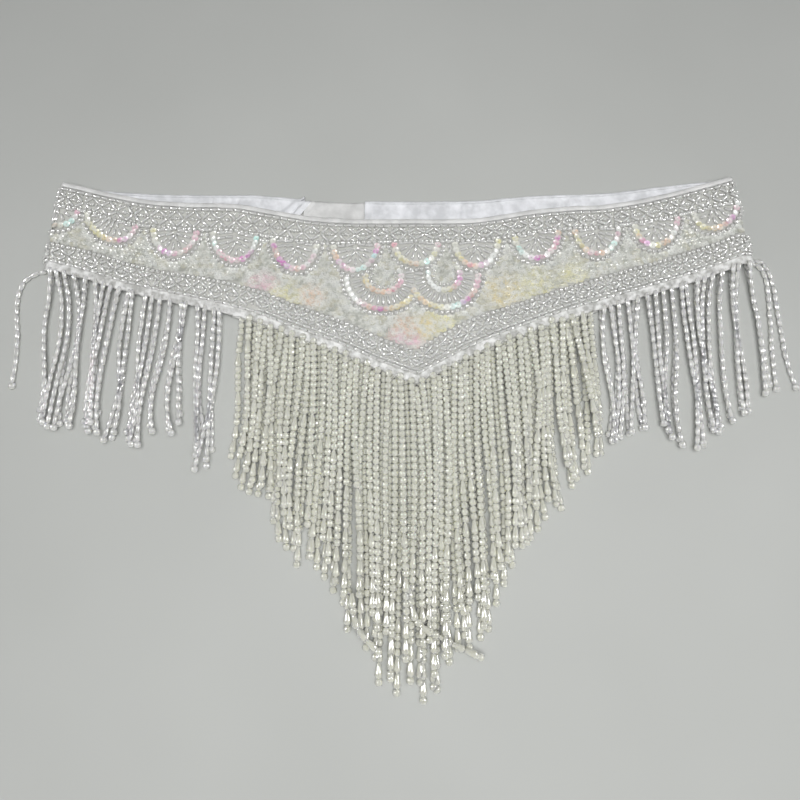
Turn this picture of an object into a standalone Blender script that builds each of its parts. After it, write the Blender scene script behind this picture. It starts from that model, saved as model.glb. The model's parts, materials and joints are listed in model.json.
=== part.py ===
"""Beaded belly dance hip belt, fastened at the back and laid flat with its front panel on top.

Frame, in metres: +X runs across the belt, +Y points to the waist edge and +Z is up. The table is
z = 0, and the origin is the middle of the ground that the belt and its fringe cover.

From the table up: the beaded back wings, their satin lining, then the front panel, which turns
round a soft fold at each side to meet the wings. The strands of the fringe lie in two layers.
"""

import math
from bisect import bisect_right
from collections import namedtuple

import bmesh
import bpy
from mathutils import Vector

MM = 0.001

# ---- cloth, from the table up
GAP = 0.3 * MM
WING_WALL = 2.4 * MM
LINING_WALL = 1.0 * MM
FRONT_WALL = 2.0 * MM
RELIEF = 0.8 * MM
LINING_Z = WING_WALL + GAP
FRONT_Z = LINING_Z + LINING_WALL + GAP

# ---- side folds
FOLD_RADIUS = 4.4 * MM
FOLD_EASE = 30.0 * MM
FOLD_TURNS = tuple(math.radians(angle) for angle in (29.0, 58.0, 85.5))
SHARP_ANGLE = math.radians(40.0)

# ---- trims
BINDING = 3.6 * MM
BINDING_CROWN = 0.5 * MM
BACK_BINDING = 2.4 * MM
BACK_BINDING_SHOULDER = 0.5 * MM
BORDER = 13.5 * MM
BORDER_STEP = 1.0 * MM
HEM_STRIP = 5.0 * MM
HEM_STRIP_LOW = 0.3 * MM
TAPE_Z = 1.7 * MM
TAPE_WALL = 2.0 * MM

# ---- closure at the centre of the back
LEFT_WING_END = -62.0 * MM
RIGHT_WING_END = -20.3 * MM
TAB_END = 10.0 * MM
TAB_WALL = 1.0 * MM
TAB_SETTLE = 28.0 * MM
TAB_PITCH = 5.6 * MM
LAP_EASE = 12.0 * MM
LAP_PITCH = 4.0 * MM
LAP_Z = TAB_WALL + GAP

# ---- raised scallops and fans of beadwork
APEX_X = 14.0 * MM
SCALLOP_PITCH = 39.6 * MM
SCALLOP_REACH = 5
SCALLOP_HALF = 14.5 * MM
SCALLOP_DROP = 23.0 * MM
SCALLOP_SLOPE = 5.0
SCALLOP_FLOOR = BINDING + BORDER + BORDER_STEP + SCALLOP_DROP
Fan = namedtuple("Fan", "x y radius")
FANS = (
    Fan(-11.5 * MM, 90.0 * MM, 25.5 * MM),
    Fan(33.0 * MM, 90.5 * MM, 22.0 * MM),
)

# ---- soft creases in the satin that shows inside the back
CREASE_PITCH = 13.0 * MM
CREASE_BEAT = 22.1 * MM
CREASE_RISE = 0.5 * MM
LINING_EDGE = 2.0 * MM
CREASED_DEPTH = 4.0 * MM

# ---- columns and rows that the walls are cut into
SCALLOP_COLUMNS = 8
FRONT_SCALLOPS = 7
SCALLOP_ROWS = 6
V_ROWS = 6
WING_PITCH = 12.0 * MM
HEM_MARKS = tuple(APEX_X + k * WING_PITCH for k in range(-20, 20))
LINING_PITCH = 6.5 * MM
BINDING_PITCH = 9.0 * MM

# ---- strands of the fringe
SIDE_STRAND = 2.8 * MM
CENTRE_STRAND = 3.6 * MM
STRAND_LIFT = 0.4 * MM
ROOT_WIDTH = 2.4 * MM
ROOT_DROP = 8.0 * MM
ROOT_SINK = 0.1 * MM
UNEVEN = 8.0
TIP_TAPER = 0.7
CENTRE_FROM = -104.5 * MM
CENTRE_TO = 129.0 * MM
BOW = 1.6 * MM
BOW_WAVE = 55.0 * MM
STRAND_STEPS = (0.36, 0.68, 1.0)

# ---- outline of the cloth as it lies, in millimetres
Waist = namedtuple("Waist", "x front back")
WAIST = (
    Waist(-226, 157.9, 157.9),
    Waist(-196, 152.0, 153.8),
    Waist(-166, 145.5, 151.3),
    Waist(-132, 143.0, 150.4),
    Waist(-106, 142.5, 150.4),
    Waist(-88, 139.0, 150.0),
    Waist(-62, 134.0, 147.3),
    Waist(-38, 131.5, 146.3),
    Waist(0, 131.0, 145.6),
    Waist(42, 131.2, 145.8),
    Waist(58, 132.2, 146.4),
    Waist(90, 137.5, 149.6),
    Waist(115, 140.5, 150.8),
    Waist(140, 141.8, 151.6),
    Waist(174, 148.0, 156.0),
    Waist(201, 155.4, 159.4),
    Waist(229, 162.2, 162.2),
)

Hem = namedtuple("Hem", "x y")
HEM_LEFT_OF_POINT = (
    Hem(-230, 93.8),
    Hem(-201, 87.8),
    Hem(-178, 80.3),
    Hem(-153, 73.8),
    Hem(-126, 68.3),
    Hem(-90, 58.6),
    Hem(-68, 49.8),
    Hem(-35, 37.6),
    Hem(-10, 26.2),
    Hem(14, 16.8),
)
HEM_RIGHT_OF_POINT = (
    Hem(14, 16.8),
    Hem(36, 29.3),
    Hem(52, 37.3),
    Hem(69, 44.8),
    Hem(94, 54.3),
    Hem(111, 60.3),
    Hem(133, 67.0),
    Hem(196, 86.4),
    Hem(236, 100.8),
)
BACK_HEM = (
    Hem(-230, 93.8),
    Hem(-180, 90.7),
    Hem(-110, 88.2),
    Hem(0, 85.2),
    Hem(110, 89.7),
    Hem(190, 96.2),
    Hem(236, 100.8),
)

# outermost x of the side folds, by the fraction of the way from waist to hem
Side = namedtuple("Side", "x left right")
SIDES = (
    Side(0.0, -223.5, 227.0),
    Side(0.3, -227.5, 230.8),
    Side(0.55, -228.6, 232.8),
    Side(1.0, -227.5, 233.0),
)

# where the strands end, by the x of their roots, in millimetres
Tip = namedtuple("Tip", "x y")
LEFT_TIPS = (
    Tip(-226, -6),
    Tip(-214, -12),
    Tip(-190, -16),
    Tip(-168, -20),
    Tip(-150, -25),
    Tip(-138, -13),
    Tip(-122, -34),
    Tip(-108, -40),
)
RIGHT_TIPS = (
    Tip(130, -26),
    Tip(150, -16),
    Tip(168, -18),
    Tip(181, -27),
    Tip(200, -16),
    Tip(220, -6),
    Tip(233, 8),
)
CENTRE_TIPS = (
    Tip(-103, -24),
    Tip(-92, -46),
    Tip(-78, -60),
    Tip(-64, -86),
    Tip(-40, -102),
    Tip(-28, -126),
    Tip(-14, -152),
    Tip(0, -164),
    Tip(14, -170),
    Tip(26, -162),
    Tip(40, -142),
    Tip(50, -140),
    Tip(60, -110),
    Tip(86, -74),
    Tip(100, -62),
    Tip(113, -46),
    Tip(128, -29),
)

# one row of strands: the range of its roots, their count, a strand's size and the height of its
# middle, then how far the tips scatter and slant, and how much shorter and more uneven they are;
# in a row more uneven than UNEVEN every other strand is shorter again (all in millimetres but
# size and height)
Row = namedtuple("Row", "first last count size rest scatter slant tips shorten stagger")
FRONT_REST = FRONT_Z + FRONT_WALL / 2 - ROOT_SINK
CENTRE_LOW_REST = STRAND_LIFT + CENTRE_STRAND / 2
CENTRE_HIGH_REST = CENTRE_LOW_REST + CENTRE_STRAND + GAP
BACK_REST = STRAND_LIFT + SIDE_STRAND / 2
FRONT_LEFT = Row(-222, -110, 21, SIDE_STRAND, FRONT_REST, 0.9, 3.0, LEFT_TIPS, 0, 7)
FRONT_RIGHT = Row(133, 228, 18, SIDE_STRAND, FRONT_REST, 0.9, 3.0, RIGHT_TIPS, 0, 7)
CENTRE_LOW = Row(-97.7, 125.7, 50, CENTRE_STRAND, CENTRE_LOW_REST, 0.3, 2.0, CENTRE_TIPS, 0, 9)
CENTRE_HIGH = Row(-90.9, 118.9, 24, CENTRE_STRAND, CENTRE_HIGH_REST, 1.6, 4.0, CENTRE_TIPS, 16, 26)
BACK_LEFT = Row(-224, -111, 20, SIDE_STRAND, BACK_REST, 1.0, -4.0, LEFT_TIPS, 2, 12)
BACK_RIGHT = Row(134, 229, 17, SIDE_STRAND, BACK_REST, 1.0, -4.0, RIGHT_TIPS, 2, 12)

# the last strand at each side slips off the fold and bows outwards: x and y in millimetres
Bend = namedtuple("Bend", "x y")
LEFT_STRAY = (
    Bend(-234.5, 92.5),
    Bend(-241.5, 86.0),
    Bend(-243.5, 70.0),
    Bend(-239.5, 44.0),
    Bend(-239.0, 15.0),
)
RIGHT_STRAY = (
    Bend(238.5, 98.0),
    Bend(242.0, 88.0),
    Bend(241.0, 62.0),
    Bend(239.0, 38.0),
    Bend(238.5, 13.0),
)

# the middle of the ground the belt covers, taken off every point so that the origin sits there
MIDDLE = Vector((-0.75 * MM, -1.53 * MM, 0.0))

COLLECTION = "hip_belt"
SATIN = ("satin", (0.86, 0.86, 0.85), 0.38)
LINING = ("lining_satin", (0.80, 0.80, 0.81), 0.32)
BEADWORK = ("beadwork", (0.80, 0.79, 0.73), 0.25)
RICE = ("rice_pearls", (0.90, 0.90, 0.89), 0.2)
PEARL = ("ivory_pearls", (0.86, 0.85, 0.78), 0.2)


# ---------------------------------------------------------------- curves through the tables

def smooth(rows, column, x):
    """Value of a named column at x metres, on a smooth curve through the table's rows."""
    at = x / MM
    places = [row.x for row in rows]
    values = [getattr(row, column) for row in rows]
    if at <= places[0]:
        return values[0] * MM
    if at >= places[-1]:
        return values[-1] * MM
    k = bisect_right(places, at) - 1
    span = places[k + 1] - places[k]
    slope_in = slope(places, values, k)
    slope_out = slope(places, values, k + 1)
    t = (at - places[k]) / span
    start = (2 * t**3 - 3 * t**2 + 1) * values[k] + (t**3 - 2 * t**2 + t) * span * slope_in
    end = (3 * t**2 - 2 * t**3) * values[k + 1] + (t**3 - t**2) * span * slope_out
    return (start + end) * MM


def slope(places, values, k):
    """Slope of the smooth curve at one row of its table."""
    low = max(k - 1, 0)
    high = min(k + 1, len(places) - 1)
    return (values[high] - values[low]) / (places[high] - places[low])


def ease(t):
    """Rise from 0 to 1 with level ends."""
    t = min(max(t, 0.0), 1.0)
    return t * t * (3.0 - 2.0 * t)


def scatter(index, channel):
    """A repeatable value from -1 to 1 for each index and channel."""
    mixed = index * 0.6180340 + channel * 0.7548777 + index * index * 0.0931
    return 2.0 * (mixed % 1.0) - 1.0


def waist_y(side, x):
    return smooth(WAIST, side, x)


def hem_y(side, x):
    if side == "back":
        return smooth(BACK_HEM, "y", x)
    rows = HEM_LEFT_OF_POINT if x < APEX_X else HEM_RIGHT_OF_POINT
    return smooth(rows, "y", x)


def side_x(column, down):
    """Outermost x of a side fold, a fraction of the way down from the waist."""
    return smooth(SIDES, column, down * MM)


# ---------------------------------------------------------------- places on the belt

def level(side, row, x):
    """Height up the cloth (y) of a row: a distance from waist or hem, or a share of what is below
    the scallops and above the border of the hem."""
    anchor, value = row
    waist = waist_y(side, x)
    hem = hem_y(side, x)
    if anchor == "waist":
        return waist - value
    if anchor == "hem":
        return hem + value
    upper = waist - SCALLOP_FLOOR
    lower = hem + HEM_STRIP + BORDER + BORDER_STEP
    return upper + (lower - upper) * value


def ground(side, across, row):
    """Plan position of a row, across the flat part of the belt from -1 (left) to 1 (right)."""
    share = (across + 1.0) / 2.0
    x = flat_x(share, 0.5)
    for _ in range(2):
        waist = waist_y(side, x)
        down = (waist - level(side, row, x)) / (waist - hem_y(side, x))
        x = flat_x(share, down)
    return x, level(side, row, x)


def flat_x(share, down):
    """x on the flat part, which stops where the side folds begin to turn."""
    left = side_x("left", down) + FOLD_RADIUS
    right = side_x("right", down) - FOLD_RADIUS
    return left + (right - left) * share


def across_at(x):
    """How far across the belt an x at mid depth lies, from -1 to 1: flat_x turned round."""
    left = flat_x(0.0, 0.5)
    right = flat_x(1.0, 0.5)
    return 2.0 * (x - left) / (right - left) - 1.0


def fold_lift(across, x):
    """How far the soft side fold holds the front panel up."""
    inner = flat_x(0.0, 0.5) if across < 0 else flat_x(1.0, 0.5)
    full = 2.0 * FOLD_RADIUS - FRONT_WALL - FRONT_Z
    return full * (1.0 - ease(abs(x - inner) / FOLD_EASE))


def front_point(station, row, height):
    """A point on the front panel, at a height over its underside."""
    across, turn = station
    x, y = ground("front", across, row)
    if turn == 0.0:
        return Vector((x, y, FRONT_Z + fold_lift(across, x) + height))
    radius = FOLD_RADIUS - FRONT_WALL + height
    return Vector((x + math.copysign(radius * math.sin(turn), across), y,
                   FOLD_RADIUS + radius * math.cos(turn)))


def back_point(station, row, height):
    """A point on a back wing, at a height over its outer face, which lies on the table."""
    across, turn = station
    x, y = ground("back", across, row)
    if turn == 0.0:
        return Vector((x, y, height))
    radius = FOLD_RADIUS - height
    return Vector((x + math.copysign(radius * math.sin(turn), across), y,
                   FOLD_RADIUS - radius * math.cos(turn)))


def flat_stations(start, stop, pitch):
    """Even stations over the flat part between two x values."""
    count = max(1, round((stop - start) / pitch))
    low = across_at(start)
    high = across_at(stop)
    return [(low + (high - low) * k / count, 0.0) for k in range(count + 1)]


def at(x):
    """The station at an x on the flat part."""
    return (across_at(x), 0.0)


def flat_position(station):
    """x of a flat station at mid depth."""
    return flat_x((station[0] + 1.0) / 2.0, 0.5)


def left_fold():
    return [(-1.0, turn) for turn in reversed(FOLD_TURNS)]


def right_fold():
    return [(1.0, turn) for turn in FOLD_TURNS]


# ---------------------------------------------------------------- solids

def material(recipe):
    """The named Principled material, made once."""
    name, colour, roughness = recipe
    found = bpy.data.materials.get(name)
    if found:
        return found
    made = bpy.data.materials.new(name)
    made.use_nodes = True
    shader = made.node_tree.nodes["Principled BSDF"]
    shader.inputs["Base Color"].default_value = (*colour, 1.0)
    shader.inputs["Roughness"].default_value = roughness
    return made


def unit_slab(columns, rows):
    """A closed slab of one layer, cut into columns along x and rows along y."""
    slab = bmesh.new()
    bmesh.ops.create_grid(slab, x_segments=columns, y_segments=rows, size=0.5)
    lifted = bmesh.ops.extrude_face_region(slab, geom=list(slab.faces))
    upper = [item for item in lifted["geom"] if isinstance(item, bmesh.types.BMVert)]
    bmesh.ops.translate(slab, verts=upper, vec=(0.0, 0.0, 1.0))
    bmesh.ops.recalc_face_normals(slab, faces=list(slab.faces))
    return slab


def cell(vert, columns, rows):
    """Column, row and layer of a corner of the unit slab."""
    return round((vert.co.x + 0.5) * columns), round((0.5 - vert.co.y) * rows), round(vert.co.z)


def finish(name, body, recipe):
    """Turn a bmesh into a named object of the belt."""
    for vert in body.verts:
        vert.co -= MIDDLE
    mesh = bpy.data.meshes.new(name)
    body.to_mesh(mesh)
    body.free()
    mesh.materials.append(material(recipe))
    mesh.shade_smooth()
    mesh.set_sharp_from_angle(angle=SHARP_ANGLE)
    piece = bpy.data.objects.new(name, mesh)
    bpy.data.collections[COLLECTION].objects.link(piece)
    return piece


def bent_slab(name, stations, rows, point, recipe):
    """A wall of the belt: each corner of a slab carried to point(station, row number, layer)."""
    columns = len(stations) - 1
    body = unit_slab(columns, rows)
    places = {vert: cell(vert, columns, rows) for vert in body.verts}
    for vert, (column, row, layer) in places.items():
        vert.co = point(stations[column], row, layer)
    return finish(name, body, recipe)


# ---------------------------------------------------------------- beaded walls

def beadwork_relief(x, y):
    """Height of the scallops and fans of beadwork over the panel's ground."""
    nearest = round((x - APEX_X) / SCALLOP_PITCH)
    top = waist_y("front", x) - BINDING - BORDER
    inside = 0.0
    if abs(nearest) <= SCALLOP_REACH and y < top:
        away = (x - APEX_X - nearest * SCALLOP_PITCH) / SCALLOP_HALF
        inside = 1.0 - math.hypot(away, (top - y) / SCALLOP_DROP)
    for fan in FANS:
        if y < fan.y:
            inside = max(inside, 1.0 - math.hypot(x - fan.x, y - fan.y) / fan.radius)
    return RELIEF * min(max(inside * SCALLOP_SLOPE, 0.0), 1.0)


def front_panel():
    """The V-shaped front, with its two borders and its scallops raised."""
    rows = [("waist", BINDING + GAP), ("waist", BINDING + BORDER)]
    rows += [("waist", SCALLOP_FLOOR - SCALLOP_DROP * k / SCALLOP_ROWS)
             for k in range(SCALLOP_ROWS, 0, -1)]
    rows += [("share", k / V_ROWS) for k in range(V_ROWS + 1)]
    rows += [("hem", HEM_STRIP + BORDER), ("hem", HEM_STRIP + GAP)]
    borders = (0, 1, len(rows) - 2, len(rows) - 1)
    pitch = SCALLOP_PITCH / SCALLOP_COLUMNS
    left = flat_x(0.0, 0.5)
    right = flat_x(1.0, 0.5)
    reach = SCALLOP_COLUMNS * FRONT_SCALLOPS
    marks = [APEX_X + pitch * k for k in range(-reach, reach)]
    flat = [at(left)] + [at(x) for x in marks if left + pitch / 2.0 < x < right - pitch / 2.0]
    flat.append(at(right))

    def point(station, row, layer):
        if layer == 0:
            return front_point(station, rows[row], 0.0)
        if row in borders:
            return front_point(station, rows[row], FRONT_WALL + RELIEF)
        relief = beadwork_relief(*ground("front", station[0], rows[row]))
        return front_point(station, rows[row], FRONT_WALL + relief)

    bent_slab("front_panel", left_fold() + flat + right_fold(), len(rows) - 1, point, BEADWORK)


def lap_height(station, x):
    """How far the end of the right wing is held up by the closure tab under it."""
    if station[1] or x < RIGHT_WING_END - GAP:
        return 0.0
    return LAP_Z * (1.0 - ease((x - TAB_END) / LAP_EASE))


def right_wing_stations(pitch):
    """Stations from the lapped end of the right wing to the end of its side fold."""
    lapped = flat_stations(RIGHT_WING_END, TAB_END + LAP_EASE, LAP_PITCH)
    rest = flat_stations(TAB_END + LAP_EASE, flat_x(1.0, 0.5), pitch)
    return lapped + rest[1:] + right_fold()


def back_wings():
    """The two beaded wings, flat on the table; the right one's end thins over the tab."""
    rows = (("waist", BACK_BINDING + GAP), ("hem", HEM_STRIP + GAP))

    def point(station, row, layer):
        x, _ = ground("back", station[0], rows[row])
        return back_point(station, rows[row], WING_WALL if layer else lap_height(station, x))

    left_stations = left_fold() + flat_stations(flat_x(0.0, 0.5), LEFT_WING_END, WING_PITCH)
    bent_slab("back_wing_left", left_stations, 1, point, BEADWORK)
    bent_slab("back_wing_right", right_wing_stations(WING_PITCH), 1, point, BEADWORK)


# ---------------------------------------------------------------- satin

def crease(x):
    """Soft cross creases of the lining, uneven in height."""
    swing = math.sin(2.0 * math.pi * x / CREASE_PITCH) * math.sin(x / CREASE_BEAT)
    return CREASE_RISE * (0.5 + 0.5 * swing)


def linings():
    """White satin inside the wings; it creases where the front leaves it free."""
    def point(station, row, layer):
        x, top = ground("back", station[0], ("waist", BACK_BINDING + GAP))
        bottom = level("back", ("hem", HEM_STRIP + GAP), x)
        free = min(top - LINING_EDGE, waist_y("front", x) + LINING_EDGE)
        y = (top, (top + free) / 2.0, free, bottom)[row]
        raised = crease(x) if layer and row == 1 and top - free > CREASED_DEPTH else 0.0
        return Vector((x, y, LINING_Z + LINING_WALL * layer + raised))

    left_edge = flat_x(0.0, 0.5) + FOLD_RADIUS / 2
    right_edge = flat_x(1.0, 0.5) - FOLD_RADIUS / 2
    left = flat_stations(left_edge, LEFT_WING_END, LINING_PITCH)
    right = flat_stations(RIGHT_WING_END, right_edge, LINING_PITCH)
    bent_slab("back_lining_left", left, 3, point, LINING)
    bent_slab("back_lining_right", right, 3, point, LINING)


def closure_tab():
    """Plain underlap: level with the left lining where it is sewn on, flat on the table beyond."""
    start = LEFT_WING_END + GAP
    rows = (("waist", GAP), ("hem", GAP))

    def point(station, row, layer):
        x, y = ground("back", station[0], rows[row])
        settle = ease((x - start) / TAB_SETTLE)
        return Vector((x, y, (LINING_Z - GAP) * (1.0 - settle) + TAB_WALL * layer))

    stations = flat_stations(start, TAB_END, TAB_PITCH)
    bent_slab("closure_tab", stations, 1, point, SATIN)


def bindings():
    """Folded satin strips along the waist edges, a little crowned."""
    def front(station, row, layer):
        place = (("waist", 0.0), ("waist", BINDING / 2), ("waist", BINDING))[row]
        crown = BINDING_CROWN if layer and row == 1 else 0.0
        return front_point(station, place, FRONT_WALL * layer + crown)

    def back(station, row, layer):
        place = (("waist", 0.0), ("waist", BACK_BINDING / 2), ("waist", BACK_BINDING))[row]
        if layer == 0:
            x, _ = ground("back", station[0], place)
            return back_point(station, place, lap_height(station, x))
        top = WING_WALL if station[1] else LINING_Z + LINING_WALL
        shoulder = 0.0 if row == 1 else BACK_BINDING_SHOULDER
        return back_point(station, place, top - shoulder)

    left = flat_x(0.0, 0.5)
    right = flat_x(1.0, 0.5)
    whole = left_fold() + flat_stations(left, right, BINDING_PITCH) + right_fold()
    bent_slab("waist_binding_front", whole, 2, front, SATIN)
    wing = left_fold() + flat_stations(left, LEFT_WING_END, BINDING_PITCH)
    bent_slab("waist_binding_back_left", wing, 2, back, SATIN)
    bent_slab("waist_binding_back_right", right_wing_stations(BINDING_PITCH), 2, back, SATIN)


# ---------------------------------------------------------------- fringe

def strand_roots(row):
    """x of each strand's root along the hem."""
    pitch = (row.last - row.first) / (row.count - 1)
    return [(row.first + pitch * k + row.scatter * scatter(k, 1)) * MM for k in range(row.count)]


def strand_path(row, index, root):
    """Middles of a strand's rings after its root, down the table to its tip."""
    wave = math.sin(root.x / BOW_WAVE * 2.0 * math.pi)
    shorter = row.shorten + row.stagger * (0.5 + 0.5 * scatter(index, 2))
    if index % 2 and row.stagger > UNEVEN:
        shorter += row.stagger
    sway = row.slant * math.sin(root.x / BOW_WAVE) + row.scatter * scatter(index, 3)
    tip_x = root.x + sway * MM
    tip_y = smooth(row.tips, "y", root.x) + shorter * MM
    length = root.y - tip_y
    path = []
    for share in (ROOT_DROP / length, *STRAND_STEPS):
        bow = BOW * wave * math.sin(math.pi * share)
        x = root.x + (tip_x - root.x) * share + bow
        path.append(Vector((x, root.y - length * share, row.rest)))
    return path


def grow_strand(body, root_face, path, size):
    """Carry a face of the hem strip along a path as a four-sided strand."""
    middle = root_face.calc_center_median()
    signs = [(math.copysign(1.0, (vert.co - middle).x), math.copysign(1.0, (vert.co - middle).z))
             for vert in root_face.verts]
    face = root_face
    before = middle
    for step, centre in enumerate(path):
        run = (path[min(step + 1, len(path) - 1)] - before).to_2d().normalized()
        beside = Vector((-run.y, run.x, 0.0))
        reach = size / 2.0 * (TIP_TAPER if step == len(path) - 1 else 1.0)
        face = bmesh.ops.extrude_discrete_faces(body, faces=[face])["faces"][0]
        for vert, (right, up) in zip(face.verts, signs):
            vert.co = centre + beside * (right * reach) + Vector((0.0, 0.0, up * reach))
        before = centre


def strip_stations(before, roots, after, marks):
    """Stations of a hem strip, and the column where each strand's root lies."""
    stations = [station for station in before]
    columns = []
    free_from = flat_position(before[-1])
    for x in roots + [None]:
        free_to = flat_position(after[0]) if x is None else x - ROOT_WIDTH / 2.0
        stations += [at(mark) for mark in marks if free_from + GAP < mark < free_to - GAP]
        if x is not None:
            columns.append(len(stations))
            free_from = x + ROOT_WIDTH / 2.0
            stations += [at(free_to), at(free_from)]
    return stations + list(after), columns


def row_of_strands(name, row, strip, before, after, recipe, stray=()):
    """One node: a hem strip with a row of strands grown out of its lower side."""
    roots = strand_roots(row)
    stations, root_columns = strip_stations(before, roots, after, HEM_MARKS)
    columns = len(stations) - 1
    body = unit_slab(columns, 1)
    places = {vert: cell(vert, columns, 1) for vert in body.verts}
    lower_faces = {}
    for face in body.faces:
        corners = [places[vert] for vert in face.verts]
        if all(corner[1] == 1 for corner in corners):
            lower_faces[min(corner[0] for corner in corners)] = face
    for vert, (column, across_row, layer) in places.items():
        vert.co = strip(stations[column], across_row, layer)
    for index, column in enumerate(root_columns):
        root_face = lower_faces[column]
        grow_strand(body, root_face, strand_path(row, index, root_face.calc_center_median()), row.size)
    if stray:
        path = [Vector((bend.x * MM, bend.y * MM, row.rest)) for bend in stray]
        grow_strand(body, lower_faces[0 if stray is LEFT_STRAY else columns - 1], path, row.size)
    finish(name, body, recipe)


def front_strip(station, row, layer):
    return front_point(station, ("hem", HEM_STRIP * (1 - row)), FRONT_WALL * layer)


def low_tape(station, row, layer):
    x, y = ground("front", station[0], ("hem", HEM_STRIP * (1 - row)))
    return Vector((x, y, TAPE_Z + TAPE_WALL * layer))


def back_strip(station, row, layer):
    place = ("hem", HEM_STRIP * (1 - row))
    if layer:
        return back_point(station, place, WING_WALL)
    x, _ = ground("back", station[0], place)
    return back_point(station, place, max(HEM_STRIP_LOW, lap_height(station, x)))


def fringes():
    """Every row of strands, front and back."""
    left = flat_x(0.0, 0.5)
    right = flat_x(1.0, 0.5)
    ends = [at(CENTRE_FROM)], [at(CENTRE_TO)]
    row_of_strands("fringe_front_left", FRONT_LEFT, front_strip, left_fold() + [at(left)],
                   [at(CENTRE_FROM - GAP)], RICE)
    row_of_strands("fringe_front_right", FRONT_RIGHT, front_strip, [at(CENTRE_TO + GAP)],
                   [at(right)] + right_fold(), RICE)
    row_of_strands("fringe_centre_upper", CENTRE_HIGH, front_strip, *ends, PEARL)
    row_of_strands("fringe_centre_lower", CENTRE_LOW, low_tape, *ends, PEARL)
    row_of_strands("fringe_back_left", BACK_LEFT, back_strip, left_fold() + [at(left)],
                   [at(LEFT_WING_END)], RICE, LEFT_STRAY)
    row_of_strands("fringe_back_right", BACK_RIGHT, back_strip,
                   flat_stations(RIGHT_WING_END, TAB_END + LAP_EASE, LAP_PITCH),
                   [at(right)] + right_fold(), RICE, RIGHT_STRAY)


def main():
    for old in list(bpy.data.objects):
        bpy.data.objects.remove(old, do_unlink=True)
    bpy.context.scene.collection.children.link(bpy.data.collections.new(COLLECTION))
    front_panel()
    back_wings()
    linings()
    closure_tab()
    bindings()
    fringes()


main()
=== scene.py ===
"""Looks of the beaded hip belt: cloth shells, sewn beadwork and the strung pearl fringe.

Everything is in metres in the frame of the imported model. The belt lies flat on its back wings,
front panel up, with +Y towards the waist edge. u runs across the belt and on round the side folds.
"""

import json
import math
import random
from collections import namedtuple

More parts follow.
